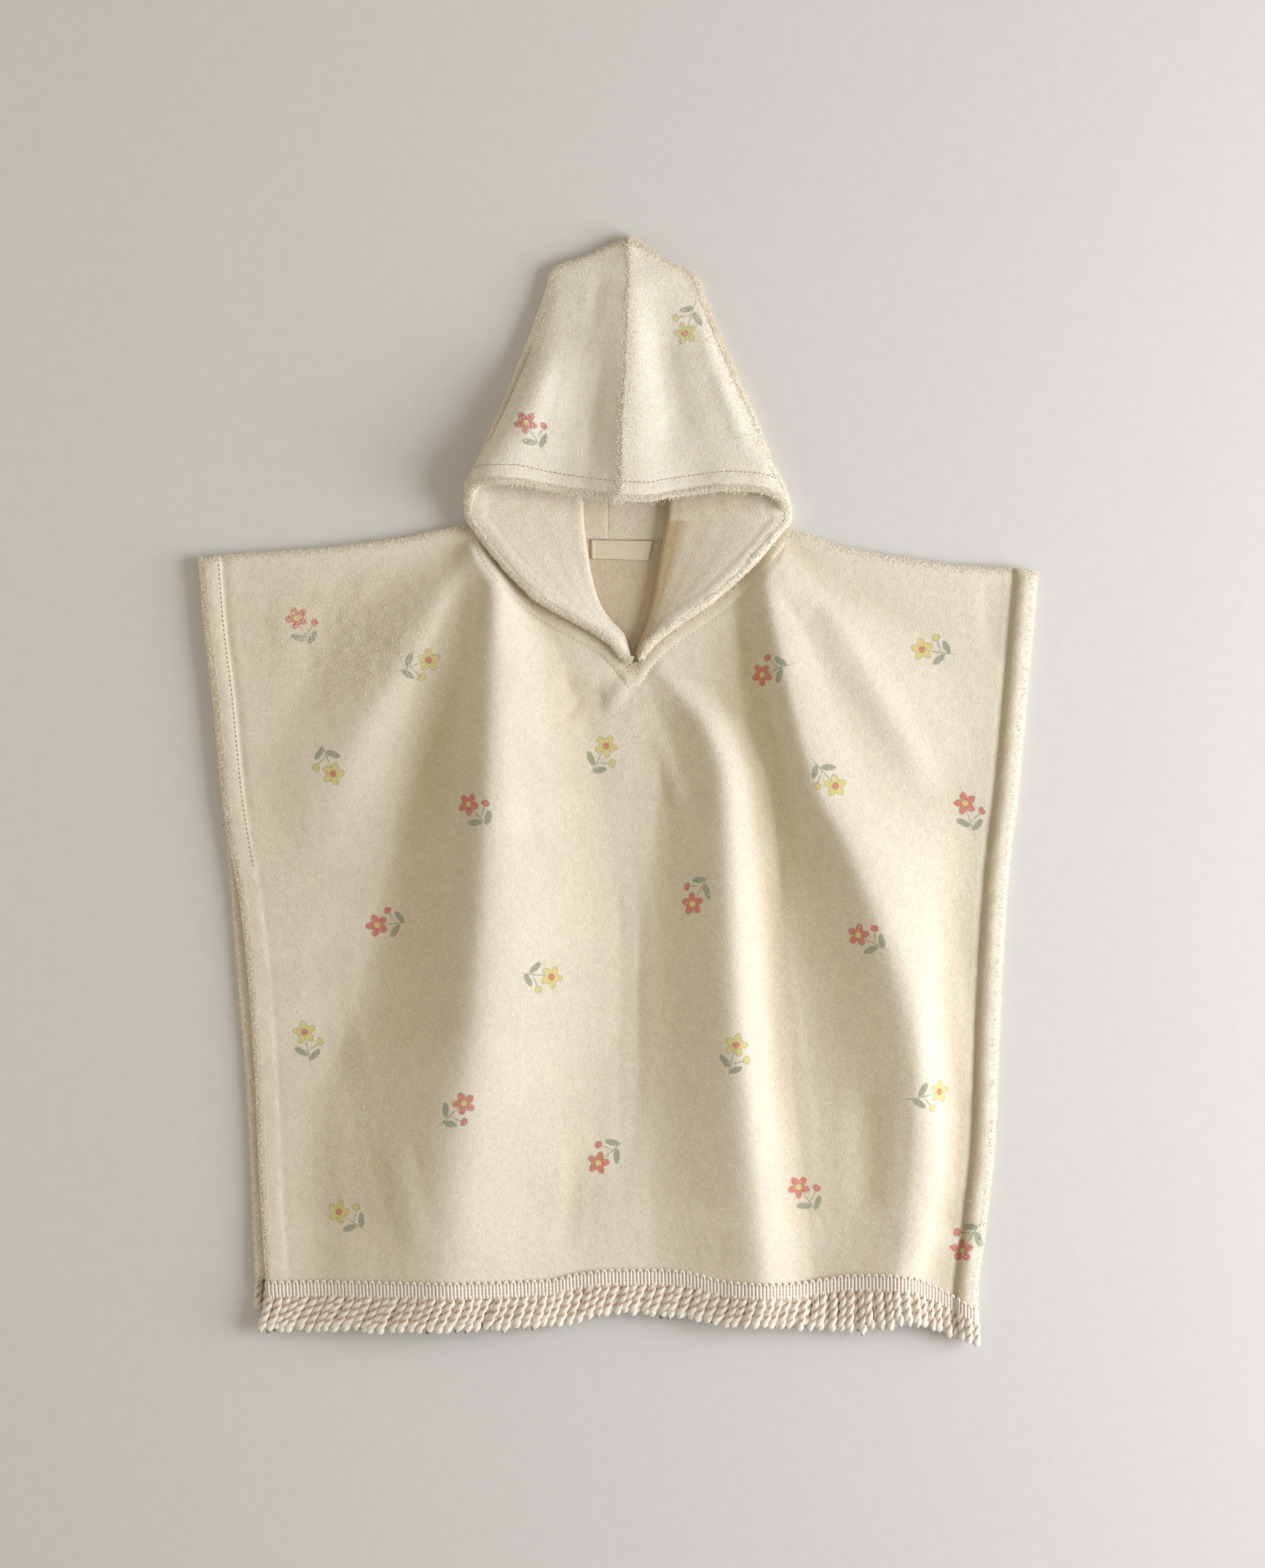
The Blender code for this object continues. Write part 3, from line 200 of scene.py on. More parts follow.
# Over y, heights of the middle of the cloth: neck layer, fold, inner face, rim, side and centre;
# and how far the side is pleated.
HOOD_LEVELS = (
    (0.4175, 0.0026, 0.0036, 0.0048, 0.0068, 0.0080, 0.0086, 0.00),
    (0.3938, 0.0028, 0.0039, 0.0053, 0.0078, 0.0092, 0.0150, 0.00),
    (0.3520, 0.0034, 0.0046, 0.0064, 0.0096, 0.0115, 0.0220, 0.00),
    (0.3190, 0.0042, 0.0054, 0.0076, 0.0118, 0.0145, 0.0270, 0.00),
    (0.2970, 0.0050, 0.0060, 0.0088, 0.0140, 0.0175, 0.0300, 0.10),
    (0.2750, 0.0056, 0.0062, 0.0098, 0.0165, 0.0210, 0.0330, 0.35),
    (0.2530, 0.0059, 0.0062, 0.0104, 0.0190, 0.0250, 0.0360, 0.70),
    (0.2360, 0.0059, 0.0062, 0.0106, 0.0205, 0.0280, 0.0375, 0.92),
    (0.2195, 0.0059, 0.0062, 0.0106, 0.0210, 0.0300, 0.0380, 1.00),
)
FLOOR_LAYER = TERRY / 2
LABEL_CORNERS = ((-0.0212, 0.1924), (0.0258, 0.1917), (0.0222, 0.1762), (-0.0208, 0.1778))

TABLE_SHIFT = np.array((
    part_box("label")[0].x - min(x for x, _ in LABEL_CORNERS),
    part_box("label")[0].y - min(y for _, y in LABEL_CORNERS),
    0.0,
))


class Slot(Enum):
    """Material slots of the record."""

    TERRY = "terry"
    COTTON = "cotton"
    LABEL = "label"


class Side(Enum):
    """The wearer's sides as they lie here, with the sign of x on each."""

    LEFT = -1
    RIGHT = 1


# --- Small tools ------------------------------------------------------------------------------
class Track:
    """A smooth curve through the rows of a table, without overshoot between them."""

    def __init__(self, rows: Iterable[Sequence[float]], key: int = 0, value: int = 1) -> None:
        """Sort the rows and work out the slope of the curve at each.

        Args:
            rows: the table.
            key: which entry of a row says where along the curve it is.
            value: which entry is the curve's value there.
        """
        ordered = sorted(rows, key=lambda row: row[key])
        self.at = np.array([row[key] for row in ordered], float)
        self.value = np.array([row[value] for row in ordered], float)
        slopes = np.diff(self.value) / np.diff(self.at)
        before, after = slopes[:-1], slopes[1:]
        same_way = before * after > 0
        total = np.where(same_way, before + after, 1.0)
        middle = np.where(same_way, 2 * before * after / total, 0.0)
        self.slope = np.concatenate(([slopes[0]], middle, [slopes[-1]]))

    def __call__(self, at: Any) -> Array:
        """Read the curve.

        Args:
            at: one place or an array of places; past an end the end's value holds.

        Returns:
            The value at each place.
        """
        at = np.clip(np.asarray(at, float), self.at[0], self.at[-1])
        i = np.clip(np.searchsorted(self.at, at, side="right") - 1, 0, len(self.at) - 2)
        span = self.at[i + 1] - self.at[i]
        t = (at - self.at[i]) / span
        start = (1 + 2 * t) * self.value[i] + t * span * self.slope[i]
        end = (3 - 2 * t) * self.value[i + 1] + (t - 1) * span * self.slope[i + 1]
        return start * (1 - t) ** 2 + end * t * t


def ease(t: Array) -> Array:
    """Rise smoothly from 0 to 1."""
    t = np.clip(t, 0.0, 1.0)
    return t * t * (3 - 2 * t)


def mix(a: Any, b: Any, t: Any) -> Any:
    """Go the share t of the way from a to b."""
    return a + (b - a) * t


def unit(vectors: Array) -> Array:
    """Scale vectors to length one."""
    lengths = np.linalg.norm(vectors, axis=-1, keepdims=True)
    return vectors / np.where(lengths == 0, 1.0, lengths)


def bump(off: Array) -> Array:
    """A round ridge that is 1 at 0 and gone at -1 and 1."""
    return np.where(np.abs(off) < 1, 0.5 * (1 + np.cos(math.pi * np.clip(off, -1, 1))), 0.0)


def pleat(off: Array, crest: float = 0.16, swell: float = 1.06) -> Array:
    """A soft fold of cloth: a narrow round crest at 0 and long flanks that run out at -1 and 1.

    Args:
        off: distance from the crest as a share of the fold's reach.
        crest: how round the crest is.
        swell: height of the crest.

    Returns:
        The fold's height.
    """
    down = np.sqrt(off**2 + crest**2) - crest
    down = down / (math.sqrt(1 + crest**2) - crest)
    return swell * np.clip(1 - down, 0, 1) ** 1.5


def rounded(distance: Array, radius: float) -> Array:
    """Share of a cloth's half thickness at a distance in from its rounded edge."""
    return np.sqrt(1 - (1 - np.clip(distance / radius, 0, 1)) ** 2)


def lengths_along(path: Array) -> Array:
    """Distance of each point of a path from the path's start."""
    return np.concatenate(([0.0], np.cumsum(np.linalg.norm(np.diff(path, axis=0), axis=1))))


def points_at(path: Array, lengths: Array, at: Array) -> Array:
    """Points of a path at some distances along it."""
    return np.stack([np.interp(at, lengths, path[:, k]) for k in range(3)], axis=-1)


class SoftNoise:
    """Seeded noise on a square lattice, smooth between its points."""

    SIZE = 97

    def __init__(self, seed: int, cell: float) -> None:
        """Draw the lattice.

        Args:
            seed: of the random draws.
            cell: width of a cell of the lattice in metres.
        """
        self.values = np.random.default_rng(seed).uniform(-1, 1, (self.SIZE, self.SIZE))
        self.cell = cell

    def __call__(self, x: Array, y: Array) -> Array:
        """Read the noise.

        Args:
            x: places in metres.
            y: the same.

        Returns:
            The noise there, from -1 to 1.
        """
        u, v = np.asarray(x) / self.cell, np.asarray(y) / self.cell
        i, j = np.floor(u).astype(int), np.floor(v).astype(int)
        s, t = ease(u - i), ease(v - j)
        i0, i1, j0, j1 = i % self.SIZE, (i + 1) % self.SIZE, j % self.SIZE, (j + 1) % self.SIZE
        low = mix(self.values[i0, j0], self.values[i1, j0], s)
        high = mix(self.values[i0, j1], self.values[i1, j1], s)
        return mix(low, high, t)


@dataclass
class Draft:
    """Points, faces and point values of one piece, gathered before its mesh is made."""

    points: list[Array] = field(default_factory=list)
    faces: list[list[int]] = field(default_factory=list)
    finishes: list[int] = field(default_factory=list)
    values: list[dict[str, Array]] = field(default_factory=list)
    count: int = 0

    def add(self, points: Array, faces: Iterable[Sequence[int]], finish: int = 0,
            **values: Array | float) -> None:
        """Add some points and the faces on them.

        Args:
            points: n rows of x, y and z.
            faces: corner numbers, counted from the first of these points.
            finish: number of the faces' material.
            values: for each name one number, n numbers, or n rows of three.
        """
        rows = faces.tolist() if isinstance(faces, Array) else faces
        self.join([[corner + self.count for corner in face] for face in rows], finish)
        points = np.asarray(points, float).reshape(-1, 3)
        self.points.append(points)
        self.values.append({key: np.full(len(points), value) if np.ndim(value) == 0 else value
                            for key, value in values.items()})
        self.count += len(points)

    def join(self, faces: list[list[int]], finish: int) -> None:
        """Add faces on points that the draft already holds."""
        self.faces += faces
        self.finishes += [finish] * len(faces)

    def add_tubes(self, paths: Array, radii: Array | float, sides: int, tone: float,
                  flat: float = 1.0) -> None:
        """Add round tubes of one tone along paths, as tubes() lays them."""
        points, faces = tubes(paths, radii, sides, flat)
        self.add(points, faces, 0, tone=tone)

    def add_wall(self, outer: Array, under: Array, kept: tuple[list[int], list[int]],
                 finishes: tuple[int, int], **values: Array) -> None:
        """Add a cloth as a fine upper face and a coarser lower one that share their rim.

        Args:
            outer: the upper face, rows x columns x 3.
            under: the lower face.
            kept: numbers of the rows and of the columns that the lower face keeps.
            finishes: numbers of the materials of the upper and the lower face.
            values: of the upper face.
        """
        rows, columns = outer.shape[:2]
        self.add(outer, grid_quads(rows, columns), finishes[0], **values)
        points, faces = coarse_face(under, *kept)
        number = {corner: corner for corner in rim_numbers(rows, columns)}
        number.update({old: rows * columns + new for new, old in enumerate(points)})
        self.add(under.reshape(-1, 3)[points], [])
        self.join([[number[corner] for corner in face] for face in faces], finishes[1])

    def piece(self, name: str, finishes: Sequence[bpy.types.Material],
              smooth: bool = True) -> bpy.types.Object:
        """Make the object.

        Args:
            name: of the object and its mesh.
            finishes: its materials, in the order of their numbers.
            smooth: whether its faces are shaded as one round surface.

        Returns:
            The object, linked to the scene.
        """
        points = np.concatenate(self.points) + TABLE_SHIFT
        mesh = bpy.data.meshes.new(name)
        mesh.from_pydata(points, [], self.faces)
        for material in finishes:
            mesh.materials.append(material)
        mesh.polygons.foreach_set("material_index", self.finishes)
        for key in sorted({key for values in self.values for key in values}):
            self._write(mesh, key)
        if smooth:
            mesh.shade_smooth()
        mesh.validate()
        made = bpy.data.objects.new(name, mesh)
        bpy.context.scene.collection.objects.link(made)
        return made

    def _write(self, mesh: bpy.types.Mesh, key: str) -> None:
        """Store one named value on the mesh's points, 0 where a part of the draft has none.

        Args:
            mesh: the new mesh.
            key: the value's name.
        """
        known = next(values[key] for values in self.values if key in values)
        wide = np.ndim(known) == 2
        parts = []
        for points, values in zip(self.points, self.values):
            blank = np.zeros((len(points), 3) if wide else len(points))
            parts.append(np.asarray(values.get(key, blank), np.float32))
        kind, field_name = ("FLOAT_VECTOR", "vector") if wide else ("FLOAT", "value")
        attribute = mesh.attributes.new(key, kind, "POINT")
        attribute.data.foreach_set(field_name, np.concatenate(parts).ravel())


def grid_quads(rows: int, columns: int) -> Array:
    """Number the corners of a grid's cells.

    Args:
        rows: of points.
        columns: of points.

    Returns:
        Four corner numbers for each cell, wound to face up where y falls with the rows.
    """
    r, c = np.meshgrid(np.arange(rows - 1), np.arange(columns - 1), indexing="ij")
    corner = (r * columns + c).ravel()
    return np.stack((corner, corner + columns, corner + columns + 1, corner + 1), axis=1)


def grid_normals(points: Array) -> Array:
    """Normals of a grid of points, from the steps along its rows and columns."""
    down, across = np.gradient(points, axis=0), np.gradient(points, axis=1)
    return unit(np.cross(down, across))


def tubes(paths: Array, radii: Array | float, sides: int, flat: float = 1.0
          ) -> tuple[Array, list[list[int]]]:
    """Lay round tubes along paths.

    Args:
        paths: tubes x steps x 3.
        radii: one radius, or one for each step of each tube.
        sides: how many sides a tube has.
        flat: height of its section as a share of its width.

    Returns:
        The points, and the faces with closed ends.
    """
    count, steps = paths.shape[:2]
    along = unit(np.gradient(paths, axis=1))
    up = np.broadcast_to(UP, along.shape)
    upright = np.abs(along[..., 2:]) > 0.95
    up = np.where(upright, np.array((1.0, 0.0, 0.0)), up)
    across = unit(np.cross(up, along))
    up = np.cross(along, across)
    turn = 2 * math.pi * np.arange(sides) / sides
    radii = np.broadcast_to(np.asarray(radii, float), (count, steps))[..., None, None]
    ring = (across[:, :, None] * np.cos(turn)[:, None]
            + up[:, :, None] * np.sin(turn)[:, None] * flat)
    points = (paths[:, :, None] + ring * radii).reshape(-1, 3)
    tube, step, side = np.meshgrid(np.arange(count), np.arange(steps - 1), np.arange(sides),
                                   indexing="ij")
    a = (tube * steps + step) * sides + side
    b = (tube * steps + step) * sides + (side + 1) % sides
    faces = np.stack((a, b, b + sides, a + sides), axis=-1).reshape(-1, 4).tolist()
    for start in range(count):
        first, last = start * steps * sides, (start * steps + steps - 1) * sides
        faces.append([first + k for k in reversed(range(sides))])
        faces.append([last + k for k in range(sides)])
    return points, faces


def flat_tufts(roots: Array, ways: Array, tops: Array, lengths: Array, widths: Array
               ) -> tuple[Array, Array]:
    """Lay low closed tufts of fibres, each a tetrahedron with its broad side up.

    Args:
        roots: n points.
        ways: n directions in which the tufts point.
        tops: n directions that their broad sides face.
        lengths: of each tuft.
        widths: of each tuft's foot.

    Returns:
        The points, four for a tuft, and the triangles.
    """
    ways = unit(ways)
    across = unit(np.cross(ways, tops))
    ridge = np.cross(across, ways)
    half = across * widths[:, None] / 2
    crest = ridge * widths[:, None] * TUFT_RIDGE
    corners = (roots + half, roots - half, roots + crest, roots + ways * lengths[:, None])
    points = np.stack(corners, axis=1).reshape(-1, 3)
    first = np.arange(len(roots))[:, None] * 4
    sides = np.concatenate([first + np.array(face) for face in
                            ((0, 3, 2), (1, 2, 3), (0, 1, 3), (0, 2, 1))])
    return points, sides


def dress(piece: bpy.types.Object, slot: Slot, *nodes: str) -> bpy.types.Object:
    """Join a piece to the part.

    Args:
        piece: the object.
        slot: not used.
        nodes: the nodes of the part that it stands for.

    Returns:
        The same object.
    """
    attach(piece, "root")
    if nodes:
        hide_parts(*nodes)
    triangles = sum(len(face.vertices) - 2 for face in piece.data.polygons)
    log.info("%s: %d triangles", piece.name, triangles)
    return piece


# --- Finishes ---------------------------------------------------------------------------------
COTTON_IOR = 1.53


def linear(colour: str) -> tuple[float, float, float, float]:
    """Turn an sRGB colour into a linear one.

    Args:
        colour: as "#RRGGBB".

    Returns:
        Red, green, blue and alpha.
    """
    parts = [int(colour[i:i + 2], 16) / 255 for i in (1, 3, 5)]
    bent = [c / 12.92 if c <= 0.04045 else ((c + 0.055) / 1.055) ** 2.4 for c in parts]
    return (bent[0], bent[1], bent[2], 1.0)


def add_node(tree: bpy.types.NodeTree, kind: str, inputs: dict[Any, Any] | None = None,
             **settings: Any) -> bpy.types.Node:
    """Add one node with its settings and links.

    Args:
        tree: the node tree.
        kind: of the node, such as "ShaderNodeMath".
        inputs: for a socket's name or number, a value or the socket that feeds it.
        settings: the node's own properties.

    Returns:
        The node.
    """
    node = tree.nodes.new(kind)
    for key, value in settings.items():
        setattr(node, key, value)
    for key, value in (inputs or {}).items():
        if isinstance(value, bpy.types.NodeSocket):
            tree.links.new(value, node.inputs[key])
        else:
            node.inputs[key].default_value = value
    return node


def math_node(tree: Tree, operation: str, *terms: Any) -> Socket:
    """Result of a sum on some numbers or sockets."""
    return add_node(tree, "ShaderNodeMath", dict(enumerate(terms)), operation=operation).outputs[0]


def vector_node(tree: Tree, operation: str, *terms: Any) -> bpy.types.Node:
    """Node with a sum on some vectors or sockets."""
    return add_node(tree, "ShaderNodeVectorMath", dict(enumerate(terms)), operation=operation)


def noise_node(tree: Tree, place: Socket, scale: float, **more: float) -> Socket:
    """Grey value of a noise texture, with more of its sockets set by name."""
    return add_node(tree, "ShaderNodeTexNoise",
                    {"Vector": place, "Scale": scale, **more}).outputs["Fac"]


def attribute_node(tree: Tree, name: str, output: str = "Fac") -> Socket:
    """Value that the mesh stores under a name."""
    return add_node(tree, "ShaderNodeAttribute", attribute_name=name).outputs[output]


def remap(tree: Tree, value: Socket, *limits: float) -> Socket:
    """Value moved from the range of the first two limits to that of the last two."""
    sockets = {0: value, **dict(enumerate(limits, start=1))}
    return add_node(tree, "ShaderNodeMapRange", sockets).outputs[0]


def blend(tree: Tree, share: Socket, first: Any, second: Any) -> Socket:
    """Colour that goes from the first to the second with a share."""
    return add_node(tree, "ShaderNodeMix", {0: share, 6: first, 7: second},
                    data_type="RGBA").outputs[2]


def scaled(tree: Tree, colour: Any, share: Socket) -> Socket:
    """Colour made lighter or darker by a share."""
    return add_node(tree, "ShaderNodeVectorMath", {0: colour, "Scale": share},
                    operation="SCALE").outputs[0]


def start_material(name: str, sockets: dict[str, float]
                   ) -> tuple[bpy.types.Material, Tree, bpy.types.Node, Socket]:
    """Start a material.

    Args:
        name: of the material.
        sockets: numbers of its Principled shader, by the sockets' names.

    Returns:
        The material, its node tree, its shader and the object's coordinates.
    """
    made = bpy.data.materials.new(name)
    made.use_nodes = True
    tree = made.node_tree
    shader = tree.nodes["Principled BSDF"]
    for socket, value in sockets.items():
        shader.inputs[socket].default_value = value
    return made, tree, shader, add_node(tree, "ShaderNodeTexCoord").outputs["Object"]


def emboss(tree: Tree, shader: bpy.types.Node, height: Socket, strength: float,
           depth: float) -> None:
    """Give a shader a relief of some depth in metres."""
    bumps = add_node(tree, "ShaderNodeBump", {
        "Strength": strength, "Distance": depth, "Height": height})
    tree.links.new(bumps.outputs[0], shader.inputs["Normal"])


@dataclass(frozen=True)
class Pile:
    """How a face of the terry looks: its colours, and the size and order of its loops in mm."""

    name: str
    colour: str
    # Ochre mixed in as painted shade, from the piece's tone and between the loops.
    shade_ochre: str
    tuft: float
    grain: float
    order: float
    cell: float
    depth: float
    contrast: float
    printed: bool = False


# Cut and brushed cotton loops: chalky, with a soft bloom at grazing angles and no gloss. Tufts of
# about 1.2 mm are drawn at 1.7 mm so that they show.
SHEARED_TERRY = Pile("sheared cotton terry", "#FEF7E6", "#C3AA72", tuft=1.7, grain=0.8, order=1.0,
                     cell=0.22, depth=0.00042, contrast=0.36, printed=True)
# Uncut loops inside the poncho: slanting rows of loops about 1.6 mm apart, duller and a little
# yellower, with a deeper ochre for the painted shade.
LOOPED_TERRY = Pile("looped cotton terry", "#FEF6E4", "#BE9A5A", tuft=1.9, grain=0.8, order=0.25,
                    cell=0.60, depth=0.00055, contrast=0.34)


@dataclass(frozen=True)
class PrintInks:
    """Colours of the printed sprigs. Pigment print on pile: flat, soft-edged, never glossy."""

    coral: str = "#DC5A48"
    yellow: str = "#E3D26A"
    sage: str = "#8F9A80"
    outline: str = "#57504A"


class TerryFinish:
    """Material of a terry face: streaky pile, ochre painted shade from the tone attribute and
    between the loops, and, outside, the printed sprigs.
    """

    # Ellipses of a sprig, in mm: x, y, turn in degrees, half width, half height.
    PETALS = tuple(
        (5.0 * math.sin(2 * math.pi * k / 5), 7.5 + 5.0 * math.cos(2 * math.pi * k / 5),
         -72.0 * k, 2.7, 4.0) for k in range(5)
    )
    EYE = ((0.0, 7.5, 0.0, 2.5, 2.5),)
    BUD = ((11.5, -2.0, 20.0, 2.3, 3.0),)
    LEAVES = ((-5.6, -7.5, 50.0, 2.2, 5.2), (5.4, -12.0, -52.0, 2.1, 4.8))
    STEMS = ((0.2, -8.0, 2.0, 0.55, 11.0), (6.6, -5.2, -62.0, 0.5, 6.0))
    OUTLINE_WIDTH = 0.45
    INK_STRENGTH = 0.9
    OUTLINE_STRENGTH = 0.65
    INK_EDGE = 0.25
    FRAY = (2.2, 2.2, 0.0)
    # The rows of loops run at this slant, and the combed pile is this much longer than wide.
    ROW_SLANT = (0.0, 0.0, 0.6)
    COMBED = (MM, 1.9 * MM, MM)
    # Width of the clumps and of the faint clouds of the pile, in mm.
    CLUMP = 5.5
    CLOUD = 38
    TONE_SHARE = 0.55

    def __init__(self, pile: Pile, inks: PrintInks = PrintInks()) -> None:
        """Keep the pile's looks and the inks."""
        self.pile, self.inks = pile, inks

    def material(self) -> bpy.types.Material:
        """Build the material.

        Returns:
            The material.
        """
        pile = self.pile
        made, tree, shader, place = start_material(pile.name, {
            "Roughness": 0.95, "IOR": COTTON_IOR, "Specular IOR Level": 0.15,
            "Sheen Weight": 0.22, "Sheen Roughness": 0.6})
        millimetres = add_node(tree, "ShaderNodeMapping", {
            "Vector": place, "Rotation": self.ROW_SLANT, "Scale": (1 / MM,) * 3}).outputs[0]
        combed = add_node(tree, "ShaderNodeMapping", {
            "Vector": place, "Rotation": self.ROW_SLANT, "Scale": self.COMBED},
            vector_type="TEXTURE").outputs[0]
        tufts = add_node(tree, "ShaderNodeTexVoronoi", {
            "Vector": millimetres, "Scale": 1 / pile.tuft, "Randomness": pile.order})
        grain = noise_node(tree, combed, 1 / pile.grain, Detail=3.0, Roughness=0.75,
                           Distortion=0.8)
        clumps = noise_node(tree, millimetres, 1 / self.CLUMP, Detail=2.0)
        clouds = noise_node(tree, millimetres, 1 / self.CLOUD)
        gaps = math_node(tree, "MULTIPLY_ADD", tufts.outputs["Distance"], pile.cell, grain)
        middle = 0.45 * pile.cell
        depth = remap(tree, gaps, 0.28 + middle, 0.73 + middle, 0.0, pile.contrast)
        # Painted shade: the tone attribute and the gaps between the loops mix in the ochre.
        shade_ochre = math_node(tree, "MULTIPLY_ADD", attribute_node(tree, "tone"), self.TONE_SHARE,
                           depth)
        colour = blend(tree, shade_ochre, linear(pile.colour), linear(pile.shade_ochre))
        if pile.printed:
            colour = self._print(tree, millimetres, colour, depth)
        shade = remap(tree, math_node(tree, "ADD", clumps, clouds), 0.7, 1.3, 0.95, 1.03)
        tree.links.new(scaled(tree, colour, shade), shader.inputs["Base Color"])
        emboss(tree, shader, math_node(tree, "MULTIPLY_ADD", gaps, -1.0, clumps), 1.0, pile.depth)
        return made

    def _shape(self, tree: Tree, place: Socket, ellipses: Sequence[Sequence[float]]) -> Socket:
        """Measure how far a place is from some ellipses.

        Args:
            tree: the node tree.
            place: in mm from the sprig's middle.
            ellipses: rows as in PETALS.

        Returns:
            The distance in mm to the nearest ellipse, below 0 inside it.
        """
        nearest = None
        for x, y, turn, half_width, half_height in ellipses:
            inner = add_node(tree, "ShaderNodeMapping", {
                "Vector": place, "Location": (x, y, 0.0),
                "Rotation": (0.0, 0.0, math.radians(turn)),
                "Scale": (half_width, half_height, 1.0)}, vector_type="TEXTURE")
            size = vector_node(tree, "LENGTH", inner.outputs[0]).outputs["Value"]
            thin = min(half_width, half_height)
            away = math_node(tree, "MULTIPLY_ADD", size, thin, -thin)
            nearest = away if nearest is None else math_node(tree, "MINIMUM", nearest, away)
        return nearest

    def _print(self, tree: Tree, place: Socket, ground: Socket, gaps: Socket) -> Socket:
        """Lay the printed sprig over the ground colour where the piece asks for one.

        Args:
            tree: the node tree.
            place: in mm on the cloth.
            ground: colour of the bare cloth.
            gaps: how deep a place lies between the loops, where the ink doesn't reach.

        Returns:
            The colour.
        """
        spot = add_node(tree, "ShaderNodeSeparateXYZ",
                        {0: attribute_node(tree, "print_place", "Vector")})
        near = math_node(tree, "GREATER_THAN", spot.outputs[2], 0.5)
        second = math_node(tree, "GREATER_THAN", attribute_node(tree, "print_kind"), 0.5)
        flat = add_node(tree, "ShaderNodeCombineXYZ", {0: spot.outputs[0], 1: spot.outputs[1]})
        fray = add_node(tree, "ShaderNodeTexNoise", {"Vector": place, "Scale": 0.8, "Detail": 2.0})
        shift = vector_node(tree, "SUBTRACT", fray.outputs["Color"], (0.5, 0.5, 0.5))
        spread = vector_node(tree, "MULTIPLY_ADD", shift.outputs[0], self.FRAY,
                             flat.outputs[0]).outputs[0]
        coral, yellow, sage, outline = (linear(ink) for ink in (
            self.inks.coral, self.inks.yellow, self.inks.sage, self.inks.outline))
        petal, eye = blend(tree, second, coral, yellow), blend(tree, second, yellow, coral)
        layers = ((self.STEMS, sage, False), (self.LEAVES, sage, True), (self.BUD, petal, True),
                  (self.PETALS, petal, True), (self.EYE, eye, True))
        colour = ground
        for ellipses, ink, lined in layers:
            away = self._shape(tree, spread, ellipses)
            if lined:
                inside = self._inside(tree, away, near, self.OUTLINE_WIDTH, self.OUTLINE_STRENGTH)
                colour = blend(tree, inside, colour, outline)
            inside = self._inside(tree, away, near, 0.0, self.INK_STRENGTH)
            colour = blend(tree, inside, colour, ink)
        return blend(tree, math_node(tree, "MULTIPLY", gaps, 1.2), colour, ground)

    def _inside(self, tree: Tree, away: Socket, near: Socket, grow: float, strength: float
                ) -> Socket:
        """Say how much ink a place takes, with an edge about half a loop soft.

        Args:
            tree: the node tree.
            away: distance in mm from the printed shape.
            near: 1 where there is a sprig.
            grow: how far the ink reaches past the shape.
            strength: of the ink.

        Returns:
            The ink's share.
        """
        inside = remap(tree, away, grow + self.INK_EDGE, grow - self.INK_EDGE, 0.0, strength)
        return math_node(tree, "MULTIPLY", inside, near)


@dataclass(frozen=True)
class YarnFinish:
    """Twisted or woven cotton yarn: matt, with fine fibres across and a darker colour mixed in by
    its grain and by the tone attribute, which carries painted shade in the fringe's grooves.
    """

    name: str
    colour: str
    grain_and_shade: str
    grain: float
    roughness: float = 0.85
    depth: float = 0.0004
    rib: float = 0.0
    bloom: float = 0.15

    def material(self) -> bpy.types.Material:
        """Build the material.

        Returns:
            The material.
        """
        made, tree, shader, place = start_material(self.name, {
            "Roughness": self.roughness, "IOR": COTTON_IOR, "Specular IOR Level": 0.2,
            "Sheen Weight": self.bloom})
        fibres = noise_node(tree, place, 1 / self.grain, Detail=3.0, Roughness=0.7)
        grain_and_shade = math_node(tree, "MULTIPLY_ADD", fibres, 0.35, attribute_node(tree, "tone"))
        share = remap(tree, grain_and_shade, 0.1, 1.1)
        colour = blend(tree, share, linear(self.colour), linear(self.grain_and_shade))
        cloud = remap(tree, noise_node(tree, place, 60.0), 0.3, 0.7, 0.94, 1.03)
        tree.links.new(scaled(tree, colour, cloud), shader.inputs["Base Color"])
        height = fibres
        if self.rib:
            ribs = add_node(tree, "ShaderNodeTexWave", {
                "Vector": place, "Scale": math.pi / 10 / self.rib, "Distortion": 0.4},
                bands_direction="Y")
            height = math_node(tree, "MULTIPLY_ADD", ribs.outputs["Fac"], 0.4, height)
        emboss(tree, shader, height, 0.6, self.depth)
        return made


# Soft-spun bullion yarn of the fringe: warm ecru, slightly fuzzy, with painted shade between its
# plies.
BULLION_COTTON = YarnFinish("twisted cotton bullion", "#FFF6E6", "#B57C42", grain=0.0007,
                            depth=0.0006, bloom=0.5)
# Mercerised sewing thread: a little smoother than the cloth, and darker where it bites in.
SEWING_THREAD = YarnFinish("cotton sewing thread", "#E4D6B8", "#9C8763", grain=0.0006,
                           roughness=0.6, depth=0.0001)
# Single fibres pulled out of the pile: matt, and paler than the cloth because light passes them.
LOOSE_FIBRES = YarnFinish("loose cotton fibres", "#FBF5E6", "#E6D6AE", grain=0.004,
                          roughness=0.95, depth=0.00001, bloom=0.4)
# Shuttle-woven ecru ribbon of the label: flat, almost no fuzz. Its ribs, 0.5 mm apart in the real
# ribbon, are drawn 0.9 mm apart so that they show.
LABEL_RIBBON = YarnFinish("woven ribbon", "#EBDDC2", "#C9AE82", grain=0.0008, roughness=0.6,
                          depth=0.0003, rib=0.0009)


# --- Print ------------------------------------------------------------------------------------
@dataclass(frozen=True)
class Sprig:
    """One printed sprig: where its middle lies, how it is turned and which inks it takes."""

    x: float
    y: float
    turn: float
    kind: int


